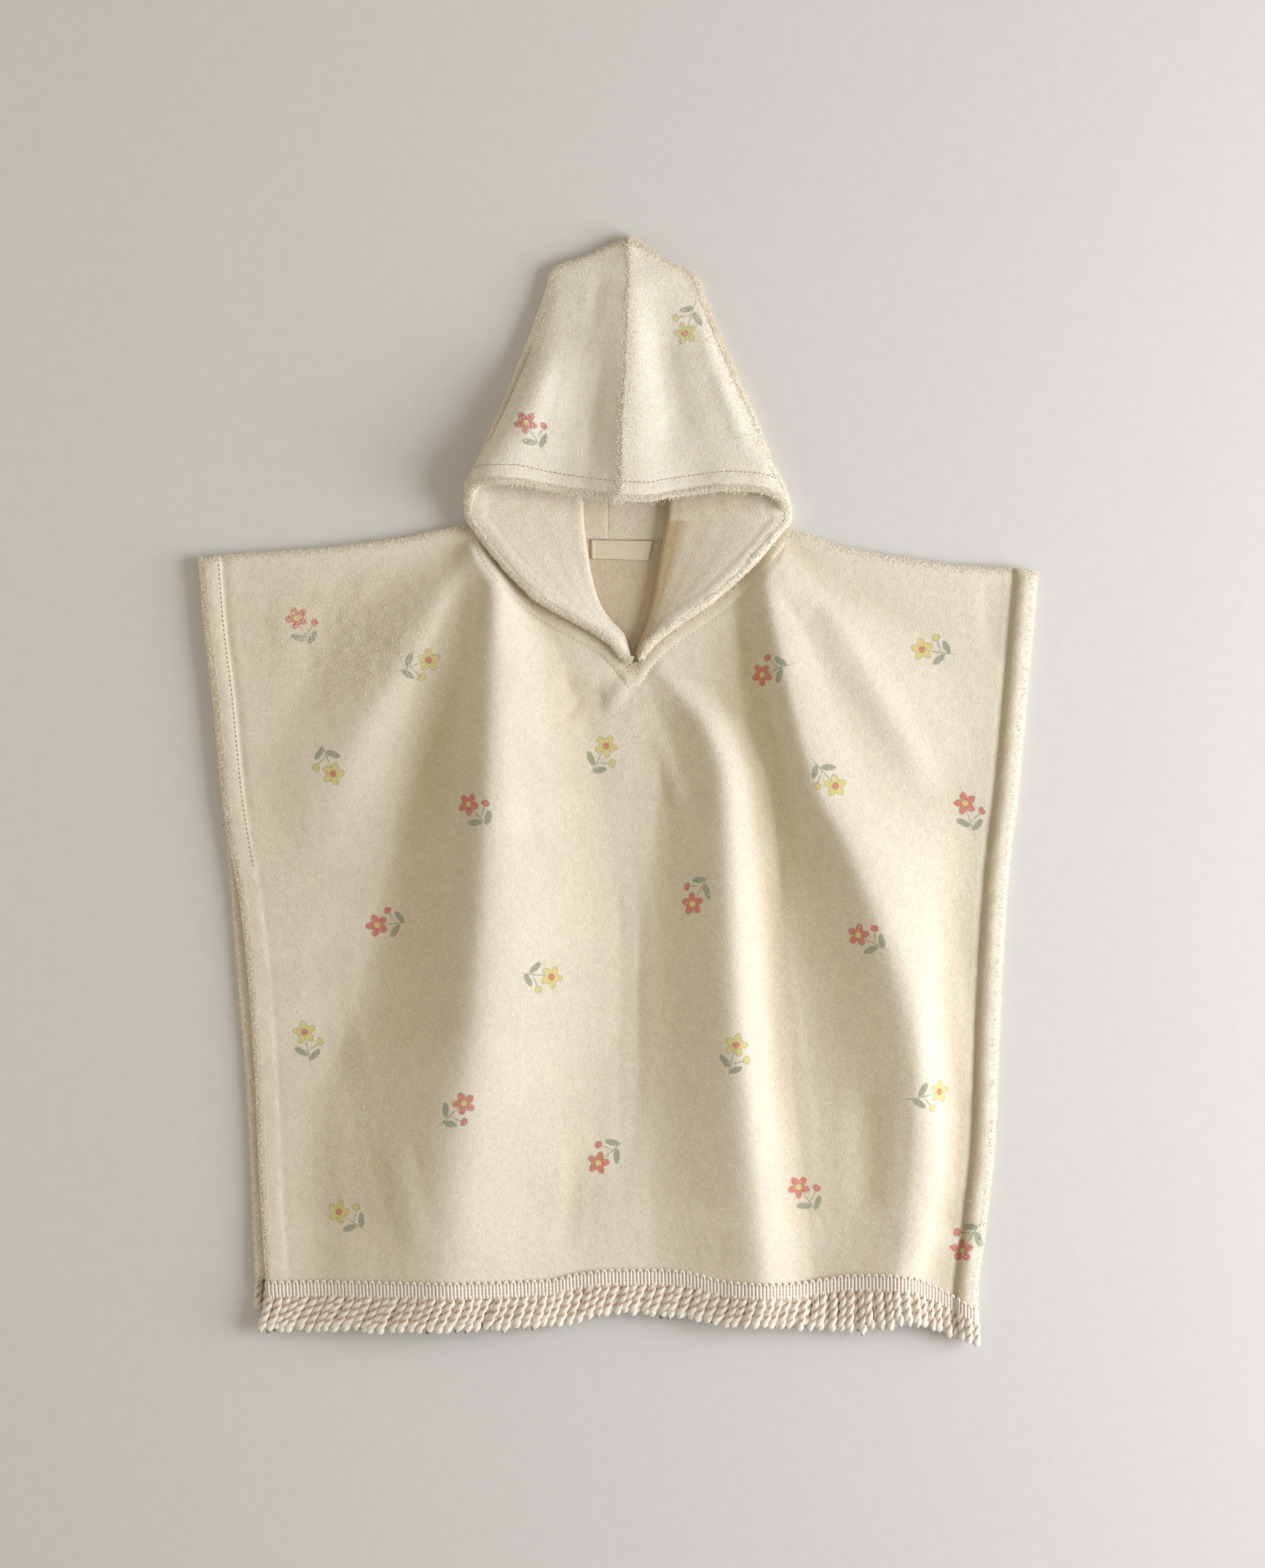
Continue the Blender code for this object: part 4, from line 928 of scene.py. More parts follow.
FRONT_SPRIGS = (
    Sprig(-0.240, 0.128, 25, 0), Sprig(-0.150, 0.098, -70, 1), Sprig(-0.218, 0.022, 200, 1),
    Sprig(-0.108, -0.012, 40, 0), Sprig(-0.012, 0.030, -30, 1), Sprig(0.112, 0.092, 110, 0),
    Sprig(0.236, 0.108, 80, 1), Sprig(0.158, 0.012, -140, 1), Sprig(0.262, -0.012, 15, 0),
    Sprig(0.060, -0.075, 150, 0), Sprig(-0.175, -0.098, 95, 0), Sprig(-0.055, -0.135, -100, 1),
    Sprig(0.186, -0.108, 60, 0), Sprig(-0.235, -0.185, 10, 1), Sprig(0.085, -0.195, -15, 1),
    Sprig(-0.120, -0.235, -50, 0), Sprig(0.235, -0.225, -75, 1), Sprig(-0.010, -0.272, 130, 0),
    Sprig(0.140, -0.300, 35, 0), Sprig(-0.205, -0.318, 55, 1), Sprig(0.262, -0.338, 145, 0),
)
HOOD_SPRIGS = {
    Side.LEFT: (Sprig(-0.066, 0.272, 30, 0),),
    Side.RIGHT: (Sprig(0.052, 0.352, 160, 1),),
}
PRINT_REACH = 24.0  # from a sprig's middle, in mm
PRINT_SCALE = 0.92
SHADE_TURN = 0.42  # sideways lean of the cloth, away from the key light, at which its painted shade is full


def sprig_values(points: Array, sprigs: Sequence[Sprig]) -> dict[str, Array]:
    """Work out the print's values on a grid of a cloth's outer face.

    Args:
        points: rows x columns x 3.
        sprigs: printed on it, placed as seen from above.

    Returns:
        "print_place", in mm from the nearest sprig and whether it is near, and "print_kind".
    """
    normals = grid_normals(points)
    normals = normals * np.sign(normals[..., 2:] + 1e-9)
    place, kinds = np.zeros(points.shape), np.zeros(points.shape[:2])
    best = np.full(points.shape[:2], 1e9)
    for sprig in sprigs:
        gap = np.hypot(points[..., 0] - sprig.x, points[..., 1] - sprig.y)
        middle = np.unravel_index(np.argmin(gap), gap.shape)
        up, turn = normals[middle], math.radians(sprig.turn)
        way = np.array((math.cos(turn), math.sin(turn), 0.0))
        across = unit(way - up * np.dot(way, up))
        off = (points - points[middle]) / MM / PRINT_SCALE
        x, y = off @ across, off @ np.cross(up, across)
        away = np.hypot(x, y)
        closer = away < best
        best = np.where(closer, away, best)
        near = (away < PRINT_REACH).astype(float)
        place = np.where(closer[..., None], np.stack((x, y, near), axis=-1), place)
        kinds = np.where(closer, sprig.kind, kinds)
    return {"print_place": place.reshape(-1, 3), "print_kind": kinds.ravel()}


def painted_turn_shade(normals: Array) -> Array:
    """How far the cloth turns to the wearer's left, away from the key light: the share of painted
    shade there.
    """
    return ease(-normals[..., 0] / SHADE_TURN)


def hollows(points: Array, reach: int, depth: float) -> Array:
    """How far each point of a grid lies below its surroundings, from 0 to 1.

    Args:
        points: rows x columns x 3.
        reach: half width of the surroundings, in points.
        depth: that counts as 1.

    Returns:
        One number for each point of the grid.
    """
    z = points[..., 2]
    for axis in (0, 1):
        padded = np.pad(z, [(reach, reach) if k == axis else (0, 0) for k in (0, 1)], mode="edge")
        total = np.cumsum(padded, axis=axis)
        first = np.take(total, [0], axis=axis) * 0
        total = np.concatenate((first, total), axis=axis)
        width, size = 2 * reach + 1, z.shape[axis]
        high = np.take(total, np.arange(width, width + size), axis=axis)
        z = (high - np.take(total, np.arange(size), axis=axis)) / width
    return np.clip((z - points[..., 2]) / depth, 0, 1)


# --- Panels -----------------------------------------------------------------------------------
def top_points(left: Array, neck: Array, right: Array) -> Array:
    """Join a panel's top points, x and y: shoulders, given by their x, and the neckline."""
    ends = [np.stack((x, Track(SHOULDERS)(x)), axis=1) for x in (left, right)]
    return np.concatenate((ends[0], neck, ends[1]))


class PanelLayout:
    """Columns of points that run from the top edge of a panel down to its hem."""

    def __init__(self, left: Track, right: Track, hem: Track, steps: Sequence[float],
                 tops: Array, spread: Array) -> None:
        """Settle where each column starts and ends.

        Args:
            left: the left edge, x over y.
            right: the right edge.
            hem: the lower edge, y over x.
            steps: places of the columns across a side hem, from the edge in.
            tops: x and y of the top point of each column between the side hems.
            spread: how far across the lower edge each of those ends, from 0 to 1.
        """
        self.left, self.right, self.steps = left, right, np.array(steps)
        width, count = steps[-1], len(steps)
        corner_left = np.array([(left.value[-1] + s) for s in steps])
        corner_right = np.array([(right.value[-1] - s) for s in steps])[::-1]
        shoulders = Track(SHOULDERS)
        self.top_x = np.concatenate((corner_left, tops[:, 0], corner_right))
        self.top_y = np.concatenate((shoulders(corner_left), tops[:, 1], shoulders(corner_right)))
        low, high = left(tops[:, 1]), right(tops[:, 1])
        at_top = (tops[:, 0] - low - width) / (high - low - 2 * width)
        pad = np.zeros(count)
        self.at_top = np.concatenate((pad, at_top, pad))
        self.at_hem = np.concatenate((pad, spread, pad))
        x = self.place(np.ones(len(self.top_x)), np.full(len(self.top_x), hem.value[0]))
        for _ in range(5):
            x = self.place(np.ones(len(x)), hem(x))
        self.end_y = hem(x)

    def place(self, share: Array, y: Array) -> Array:
        """Find x of the columns.

        Args:
            share: how far down each column.
            y: the height at which they are asked for.

        Returns:
            x, in the same shape as y.
        """
        low, high = self.left(y), self.right(y)
        width, count = self.steps[-1], len(self.steps)
        x = low + width + (high - low - 2 * width) * mix(self.at_top, self.at_hem, share)
        x[..., :count] = low[..., :count] + self.steps
        x[..., -count:] = high[..., -count:] - self.steps[::-1]
        return x

    def spread(self, band: Sequence[float], scales: Array, body: int, foot: Sequence[float]
               ) -> tuple[Array, Array]:
        """Lay out the rows.

        Args:
            band: distances of the rows below the top edge.
            scales: stretch of those distances in each column.
            body: number of even rows between the band and the foot.
            foot: distances of the last rows above the lower edge, downwards.

        Returns:
            x and y, rows x columns.
        """
        top, end = self.top_y[None], self.end_y[None]
        rows = [top - step * scales[None] for step in band]
        start, stop = rows[-1], end + foot[0]
        rows += [mix(start, stop, (i + 1) / (body + 1)) for i in range(body)]
        rows += [end + step for step in foot]
        y = np.concatenate(rows)
        x = self.place((top - y) / (top - end), y)
        return x, y


@dataclass
class Crease:
    """A soft trough or ridge that follows a short line on the front."""

    x0: float
    y0: float
    x1: float
    y1: float
    width: float
    height: float
    bend: float = 0.0

    def raise_at(self, x: Array, y: Array) -> Array:
        """Work out the height that the crease adds.

        Args:
            x: places on the cloth.
            y: the same.

        Returns:
            The height at each.
        """
        dx, dy = self.x1 - self.x0, self.y1 - self.y0
        length = math.hypot(dx, dy)
        along = ((x - self.x0) * dx + (y - self.y0) * dy) / length**2
        off = ((y - self.y0) * dx - (x - self.x0) * dy) / length
        off = off - self.bend * 4 * np.clip(along, 0, 1) * (1 - np.clip(along, 0, 1))
        ends = ease((along + 0.1) / 0.35) * ease((1.1 - along) / 0.35)
        return self.height * bump(off / self.width) * ends


FRONT_CREASES = (
    Crease(0.0165, 0.0940, -0.0127, 0.0632, 0.009, 0.0020),
    Crease(-0.0457, 0.0869, -0.0055, 0.0633, 0.012, -0.0020),
    Crease(-0.0105, 0.0880, -0.0435, 0.0550, 0.006, -0.0012),
    Crease(0.1183, 0.1650, 0.1441, 0.1358, 0.014, 0.0014),
    Crease(0.1441, 0.1358, 0.2370, -0.0055, 0.018, 0.0014, 0.004),
    Crease(0.2830, 0.1660, 0.2870, 0.1020, 0.016, -0.0016),
    Crease(0.1881, -0.2145, 0.1881, -0.3190, 0.022, -0.0014),
    Crease(0.0060, -0.0200, 0.0040, -0.3000, 0.018, -0.0012, 0.003),
    Crease(0.1144, -0.0500, 0.1180, -0.2500, 0.014, -0.0012, -0.002),
    Crease(-0.2580, 0.1500, -0.2480, 0.0700, 0.020, 0.0010, 0.004),
    Crease(-0.2000, 0.1700, -0.2250, 0.1200, 0.016, -0.0009),
    Crease(-0.0800, 0.0500, -0.0700, -0.0500, 0.018, -0.0010, 0.004),
    Crease(-0.2200, -0.1000, -0.2050, -0.2200, 0.022, -0.0010, -0.004),
    Crease(-0.1700, -0.2600, -0.1500, -0.3400, 0.018, 0.0010),
    Crease(-0.0300, -0.2600, -0.0400, -0.3450, 0.014, -0.0010),
    Crease(0.2500, -0.1200, 0.2620, -0.2300, 0.014, 0.0009),
    Crease(0.0300, 0.0450, 0.0480, -0.0100, 0.010, 0.0010),
)


@dataclass
class FrontPanel:
    """The front: printed terry with turned side hems, a V neckline and the large soft folds."""

    printed: bpy.types.Material
    inner: bpy.types.Material
    hem_steps: tuple[float, ...] = (0.0, 0.0002, 0.0008, 0.0018, 0.003, 0.005, 0.007, 0.009,
                                    0.0115, 0.0133, 0.0148, 0.0163, 0.0175, 0.0195, 0.022)
    band: tuple[float, ...] = (0.0, 0.0002, 0.0008, 0.002, 0.004, 0.007, 0.0100, 0.0115, 0.0125,
                               0.0135, 0.0165)
    foot: tuple[float, ...] = (0.011, 0.008, 0.005, 0.003, 0.0018, 0.0008, 0.0002, 0.0)
    shoulder_substeps: int = 8
    neck_substeps: int = 6
    body_rows: int = 196
    edge_radius: float = 0.0024
    neck_radius: float = 0.0010
    nap_height: float = 0.00022

    HEM = (0.0, 0.003, 0.009, 0.0145, 0.017, 0.022)
    LEFT_ROLL = (-0.0002, 0.0014, 0.0021, 0.0012, -0.0007, 0.0)
    RIGHT_ROLL = (0.0002, 0.0026, 0.0037, 0.0020, -0.0012, 0.0)
    LEFT_ROLL_END = -0.060
    NECK_BAND = (0.0, 0.004, 0.010, 0.0125, 0.0165)
    NECK_RELIEF = (-0.0004, 0.0004, 0.0004, -0.0004, 0.0)
    NECK_LAP = 0.0018
    POINT_COLUMNS = 9
    SHOULDER_RELIEF = (-0.0012, 0.0004, 0.0003, 0.0, 0.0)
    NECK_REST_REACH = 0.012
    NECK_POINT_DROP = 0.0012
    BAND_SLOPE_LIMIT = 1.5
    BAND_ROUNDS = 12
    # The top edge is counted in cells: some for each shoulder and, between them, the neckline.
    SHOULDER_CELLS = 8
    NECK_CELLS = 16
    # The front climbs over the back's fringe this far above the heading, over this length.
    HEM_LIFT_START = 0.060
    HEM_LIFT_REACH = 0.025
    DEEPEST_CREASE = 0.0008
    # Heights of the puckers on the left hem, the right hem and the neckline.
    PUCKERS = (0.0004, 0.0006, 0.00035)
    HEM_ROLL_END = 0.0165
    NECK_ROLL_END = 0.0125
    EDGE_CALM = 0.003
    # Brushed-up pile: x, y, half width, half height and strength of each spot.
    RUFFLED_SPOTS = ((-0.205, 0.120, 0.095, 0.065, 1.0), (-0.255, -0.080, 0.050, 0.110, 0.35),
                     (0.020, 0.060, 0.050, 0.040, 0.4), (-0.200, -0.250, 0.070, 0.110, 0.3))

    def __post_init__(self) -> None:
        """Lay out the sheet, its two faces and their values."""
        self._lay_out()
        self._raise()

    def _neck_line(self) -> Array:
        """Follow the neckline, tucked a little under the rolled hem.

        Returns:
            The front's top points along it, x and y.
        """
        left = [np.array(row[:2]) for row in ARM_LEFT]
        right = [np.array(row[:2]) for row in ARM_RIGHT]
        middle = (left[-1] + right[-1]) / 2 - np.array((0.0, self.NECK_POINT_DROP))
        line = left + [middle] + right[::-1]
        moved = []
        for i, point in enumerate(line):
            along = unit(line[min(i + 1, len(line) - 1)] - line[max(i - 1, 0)])
            moved.append(point - self.NECK_LAP * np.array((along[1], -along[0])))
        at = np.arange(len(moved), dtype=float)
        x = Track(list(zip(at, [p[0] for p in moved])))
        y = Track(list(zip(at, [p[1] for p in moved])))
        steps = np.linspace(0, at[-1], int(at[-1]) * self.neck_substeps + 1)
        return np.stack((x(steps), y(steps)), axis=1)

    def _lay_out(self) -> None:
        """Place every point of the sheet as seen from above."""
        left, right = Track(FRONT_LEFT), Track(FRONT_RIGHT)
        hem = Track([(x, y - HEADING) for x, y in FRONT_HEADING])
        width = self.hem_steps[-1]
        neck = self._neck_line()
        cells, total = self.SHOULDER_CELLS, 2 * self.SHOULDER_CELLS + self.NECK_CELLS
        q_left = np.arange(1, cells * self.shoulder_substeps) / self.shoulder_substeps
        x_left = mix(left.value[-1] + width, neck[0, 0], q_left / cells)
        x_right = mix(right.value[-1] - width, neck[-1, 0], q_left / cells)[::-1]
        q_neck = cells + np.arange(len(neck)) / self.neck_substeps
        q = np.concatenate((q_left, q_neck, total - q_left[::-1]))
        tops = top_points(x_left, neck, x_right)
        self.layout = PanelLayout(left, right, hem, self.hem_steps, tops, q / total)
        count = len(self.hem_steps)
        q_all = np.concatenate((np.zeros(count), q, np.full(count, float(total))))
        neck_start, neck_end = cells - 1, total - cells + 1
        self.on_neck = np.clip(np.minimum(q_all - neck_start, neck_end - q_all), 0, 1)
        first, last = count + len(q_left), count + len(q_left) + len(neck) - 1
        slope = np.gradient(self.layout.top_y) / np.gradient(self.layout.top_x)
        scales = np.minimum(np.hypot(1, slope), self.BAND_SLOPE_LIMIT)
        middle, reach = (first + last) // 2, self.POINT_COLUMNS
        scales[middle - reach:middle + reach + 1] = self.BAND_SLOPE_LIMIT
        for _ in range(self.BAND_ROUNDS):
            scales[first:last] = (scales[first - 1:last - 1] + 2 * scales[first:last]
                                  + scales[first + 1:last + 1]) / 4
        columns = np.arange(len(self.layout.top_x))
        self.scales = np.where((columns >= first) & (columns <= last), scales, 1.0)
        self.neck_columns = (first, last)
        self.x, self.y = self.layout.spread(self.band, self.scales, self.body_rows, self.foot)
        self.below = self.layout.top_y[None] - self.y
        self.from_left = self.x - left(self.y)
        self.from_right = right(self.y) - self.x
        self.from_top = self.below / self.scales[None]
        self.from_foot = self.y - self.layout.end_y[None]

    def _folds(self) -> Array:
        """Add up the large folds.

        Returns:
            Their height over the surface that the front lies on.
        """
        height = np.zeros_like(self.x)
        for rows in CRESTS:
            middle, lift, low, high = (Track(rows, 0, k)(self.y) for k in (1, 2, 3, 4))
            off = self.x - middle
            height += lift * pleat(off / np.where(off < 0, low, high))
        return height

    def _underside(self) -> Array:
        """Work out how the front rests.

        Returns:
            Height of its underside.
        """
        side = np.minimum(self.from_left, self.from_right) - HEM_FOLD
        at_neck = ease(self.below / NECK_FADE)
        at_top = mix(ease(self.below / SHOULDER_FADE), at_neck, self.on_neck)
        fade = ease(side / SIDE_FADE) * at_top
        heading = Track(FRONT_HEADING)(self.x)
        over_fringe = ease((heading + self.HEM_LIFT_START - self.y) / self.HEM_LIFT_REACH)
        rest = mix(FRONT_REST, FRONT_REST_HEM, over_fringe)
        neck_layer = HOOD_LEVELS[-1][1] - TERRY / 2
        neck_rest = mix(neck_layer, rest, ease(self.below / self.NECK_REST_REACH))
        rest = mix(rest, neck_rest, self.on_neck)
        creases = sum(crease.raise_at(self.x, self.y) for crease in FRONT_CREASES)
        clear = ease(side / 0.012) * ease(self.from_top / 0.02) * ease(self.from_foot / 0.03)
        height = rest + fade * self._folds() + clear * creases
        return np.maximum(height, rest - self.DEEPEST_CREASE * clear)

    def _thickness(self) -> Array:
        """Thicken the cloth at its hems and seams, and pucker them.

        Returns:
            Thickness of the front.
        """
        thick = np.full_like(self.x, TERRY)
        plump = mix(0.3, 1.0, ease((self.y - self.LEFT_ROLL_END) / 0.10))
        thick += Track(list(zip(self.HEM, self.LEFT_ROLL)))(self.from_left) * plump
        thick += Track(list(zip(self.HEM, self.RIGHT_ROLL)))(self.from_right)
        neck = Track(list(zip(self.NECK_BAND, self.NECK_RELIEF)))(self.from_top)
        shoulder = Track(list(zip(self.NECK_BAND, self.SHOULDER_RELIEF)))(self.from_top)
        thick += mix(shoulder, neck, self.on_neck)
        pucker = SoftNoise(41, 0.007)
        for edge, strength in zip((self.from_left, self.from_right), self.PUCKERS):
            roll = ease(edge / self.EDGE_CALM) * ease((self.HEM_ROLL_END - edge) / 0.004)
            thick += strength * roll * pucker(self.y, edge * 0.4)
        ruffle = ease(self.from_top / self.EDGE_CALM)
        ruffle = ruffle * ease((self.NECK_ROLL_END - self.from_top) / self.EDGE_CALM)
        waves = pucker(self.x + 0.5, self.y * 0.4)
        thick += self.PUCKERS[-1] * ruffle * waves * self.on_neck
        return thick

    def ruffled(self) -> Array:
        """Find where the pile is brushed up, most of all by the left shoulder.

        Returns:
            A share from 0 to 1 for each point.
        """
        out = np.zeros_like(self.x)
        for x, y, wide, high, strength in self.RUFFLED_SPOTS:
            away = np.hypot((self.x - x) / wide, (self.y - y) / high)
            out = np.maximum(out, strength * ease(1.25 - away))
        return out

    def _raise(self) -> None:
        """Give the sheet its two faces."""
        low = np.stack((self.x, self.y, self._underside()), axis=-1)
        thick = self._thickness()
        normals = grid_normals(low)
        edge = np.minimum.reduce((self.from_left, self.from_right, self.from_top))
        upright = ease(edge / self.EDGE_CALM)[..., None]
        normals = unit(mix(UP, normals, upright))
        at_neck = rounded(self.from_top, self.neck_radius)
        top = mix(rounded(self.from_top, self.edge_radius), at_neck, self.on_neck)
        edge = np.minimum(edge, self.from_foot)
        sides = np.minimum.reduce((self.from_left, self.from_right, self.from_foot))
        share = np.minimum(top, rounded(sides, self.edge_radius))
        nap = SoftNoise(7, 0.0045)(self.x, self.y) + 0.6 * SoftNoise(8, 0.011)(self.x, self.y)
        calm = ease(edge / self.EDGE_CALM)
        lift = self.nap_height * (0.3 + self.ruffled()) * nap * calm
        self.outer = low + normals * (thick * (1 + share) / 2 + lift)[..., None]
        self.under = low + normals * (thick * (1 - share) / 2)[..., None]
        self.normals = grid_normals(self.outer)
        # Painted shade: ochre in the folds' hollows and on slopes turned from the key light, over
        # a base tone, and in the valley under the rolled hem along the neckline, deeper left of
        # the neck. The ruffled spots are a little darker.
        tone = 0.24 + 0.5 * hollows(self.outer, 14, 0.006) + 0.5 * painted_turn_shade(self.normals)
        tone += 0.2 * self.ruffled()
        seam = ease((0.010 - self.from_top) / 0.009) * self.on_neck
        left_of_neck = ease((0.03 - self.x) / 0.05)
        self.tone = np.clip(tone + seam * (0.35 + 0.5 * left_of_neck), 0, 1)

    def values(self) -> dict[str, Array]:
        """Values of the outer face for its material."""
        return {"tone": self.tone.ravel(), **sprig_values(self.outer, FRONT_SPRIGS)}

    def build(self) -> bpy.types.Object:
        """Make the front's mesh.

        Returns:
            The object.
        """
        rows, columns = self.x.shape
        kept = (thin_out(rows, (2, 3, len(self.band) - 1), len(self.foot), 5),
                thin_out(columns, (2, 4, 8, 12, 14), len(self.hem_steps), 4))
        draft = Draft()
        draft.add_wall(self.outer, self.under, kept, (0, 1), **self.values())
        return draft.piece("front_terry", (self.printed, self.inner))


def thin_out(count: int, edge: Sequence[int], edge_size: int, step: int) -> list[int]:
    """Choose every few of a grid's rows or columns, and more of them along its edges.

    Args:
        count: how many there are.
        edge: numbers kept at each edge, counted from it.
        edge_size: how many belong to an edge.
        step: between those kept in the middle.

    Returns:
        The numbers kept, in order.
    """
    kept = {0, count - 1} | set(range(edge_size, count - edge_size, step))
    kept |= {k for k in edge if k < count} | {count - 1 - k for k in edge if k < count}
    return sorted(kept)


def rim_numbers(rows: int, columns: int) -> set[int]:
    """Numbers of the points on the rim of a grid."""
    grid = np.arange(rows * columns).reshape(rows, columns)
    return set(np.concatenate((grid[0], grid[-1], grid[:, 0], grid[:, -1])).tolist())


def coarse_face(points: Array, rows: list[int], columns: list[int]
                ) -> tuple[list[int], list[list[int]]]:
    """Cover a fine grid with coarse cells whose outer sides keep every point of the rim.

    Args:
        points: rows x columns x 3.
        rows: numbers of the rows kept.
        columns: numbers of the columns kept.

    Returns:
        The numbers of the points used inside the rim, and faces that face down.
    """
    height, width = points.shape[:2]
    faces, inside = [], set()
    for r0, r1 in zip(rows, rows[1:]):
        for c0, c1 in zip(columns, columns[1:]):
            left = range(r0, r1) if c0 == 0 else (r0,)
            foot = range(c0, c1) if r1 == height - 1 else (c0,)
            right = range(r1, r0, -1) if c1 == width - 1 else (r1,)
            top = range(c1, c0, -1) if r0 == 0 else (c1,)
            loop = [r * width + c0 for r in left] + [r1 * width + c for c in foot]
            loop += [r * width + c1 for r in right] + [r0 * width + c for c in top]
            faces.append(loop[::-1])
            inside.update(loop)
    return sorted(inside - rim_numbers(height, width)), faces


@dataclass
class BackPanel:
    """The back: lies flat, with its looped inner face up and the printed one on the surface."""

    printed: bpy.types.Material
    inner: bpy.types.Material
    hem_steps: tuple[float, ...] = (0.0, 0.0002, 0.0008, 0.002, 0.004, 0.008, 0.012, 0.0145,
                                    0.017, 0.022)
    band: tuple[float, ...] = (0.0, 0.0002, 0.0008, 0.002, 0.005, 0.008, 0.010, 0.012)
    foot: tuple[float, ...] = (0.0118, 0.008, 0.004, 0.002, 0.0008, 0.0002, 0.0)
    edge_radius: float = 0.0022
    neck_radius: float = 0.0006

    HEM = (0.0, 0.003, 0.0145, 0.017)
    HEM_RELIEF = (0.0012, 0.0016, 0.0016, 0.0)
    SEAM = (0.0, 0.008, 0.012)
    SEAM_RELIEF = (0.002, 0.002, 0.0)
    # The cloth rises onto its heading over the last of this many steps down the body.
    BODY_STEPS = 9
    HEADING_CLEAR = 0.0008
    FOOT_CLEAR = 0.008
    BODY_ROWS = 84
    # The top edge is counted in cells, as the front's is.
    SHOULDER_CELLS = 3
    NECK_CELLS = 6
    SHOULDER_SUBSTEPS = 10
    NECK_COLUMNS = 41
    NAP = 0.0001

    def __post_init__(self) -> None:
        """Lay out the sheet and its two faces."""
        left, right = Track(BACK_LEFT), Track(BACK_RIGHT)
        hem = Track([(x, y - HEADING) for x, y in BACK_HEADING])
        width = self.hem_steps[-1]
        neck_left, neck_right, seam = ARM_LEFT[0][0], ARM_RIGHT[0][0], SEAM_BOTTOM[-1][1]
        cells, total = self.SHOULDER_CELLS, 2 * self.SHOULDER_CELLS + self.NECK_CELLS
        t = np.arange(1, cells * self.SHOULDER_SUBSTEPS) / self.SHOULDER_SUBSTEPS
        x_left = mix(left.value[-1] + width, neck_left, t / cells)
        x_right = mix(right.value[-1] - width, neck_right, t / cells)[::-1]
        half = np.linspace(0, 1, self.NECK_COLUMNS // 2 + 1)
        x_neck = np.concatenate((mix(neck_left, seam, half), mix(seam, neck_right, half[1:])))
        across = cells + np.linspace(0, self.NECK_CELLS, self.NECK_COLUMNS)
        q = np.concatenate((t, across, total - t[::-1]))
        neck = np.stack((x_neck, Track(BACK_NECK)(x_neck) + 2 * SEAM_LAP), axis=1)
        tops = top_points(x_left, neck, x_right)
        layout = PanelLayout(left, right, hem, self.hem_steps, tops, q / total)
        x, y = layout.spread(self.band, np.ones(len(layout.top_x)), self.BODY_ROWS, self.foot)
        self.x, self.y = x, y
        below, above = layout.top_y[None] - y, y - layout.end_y[None]
        lift_end = layout.end_y + HEADING + self.HEADING_CLEAR
        start, end = layout.top_y - self.band[-1], layout.end_y + HEADING + self.FOOT_CLEAR
        lift_start = mix(start, end, (self.BODY_STEPS - 1) / self.BODY_STEPS)
        lift = (HEADING_THICK + SEAM_GAP) * np.clip(
            (lift_start[None] - y) / (lift_start - lift_end)[None], 0, 1)
        from_neck = np.maximum(neck_left - layout.top_x, layout.top_x - neck_right)
        two_layers = ease(from_neck / SHOULDER_FADE)[None]
        edge = np.minimum(x - left(y), right(y) - x)
        relief = np.maximum(np.interp(below, self.SEAM, self.SEAM_RELIEF) * two_layers,
                            np.interp(edge, self.HEM, self.HEM_RELIEF))
        share = rounded(np.minimum(edge, above), self.edge_radius)
        seam_radius = mix(self.neck_radius, self.edge_radius, two_layers)
        share = np.minimum(share, rounded(below / seam_radius, 1.0))
        thick = TERRY + relief
        nap = self.NAP * SoftNoise(19, 0.005)(x, y)
        self.outer = np.stack((x, y, lift + thick * (1 + share) / 2 + nap * share), axis=-1)
        self.under = np.stack((x, y, lift + thick * (1 - share) / 2), axis=-1)
        self.edge = edge

    def build(self) -> bpy.types.Object:
        """Make the back's mesh.

        Returns:
            The object.
        """
        rows, columns = self.x.shape
        # Painted shade: ochre on the inner face where it shows deep in the hood's mouth. The cloth
        # is also a little darker along the side hems.
        from_mouth = np.hypot((self.x - 0.006) / 0.055, (self.y - 0.140) / 0.075)
        tone = 0.1 + 0.12 * ease((0.02 - self.edge) / 0.01) + 0.5 * ease(1.6 - from_mouth)
        kept = (thin_out(rows, (2, 3, 7), len(self.foot), 6),
                thin_out(columns, (2, 3, 5, 9), len(self.hem_steps), 5))
        draft = Draft()
        draft.add_wall(self.outer, self.under, kept, (1, 0), tone=tone.ravel())
        return draft.piece("back_terry", (self.printed, self.inner))


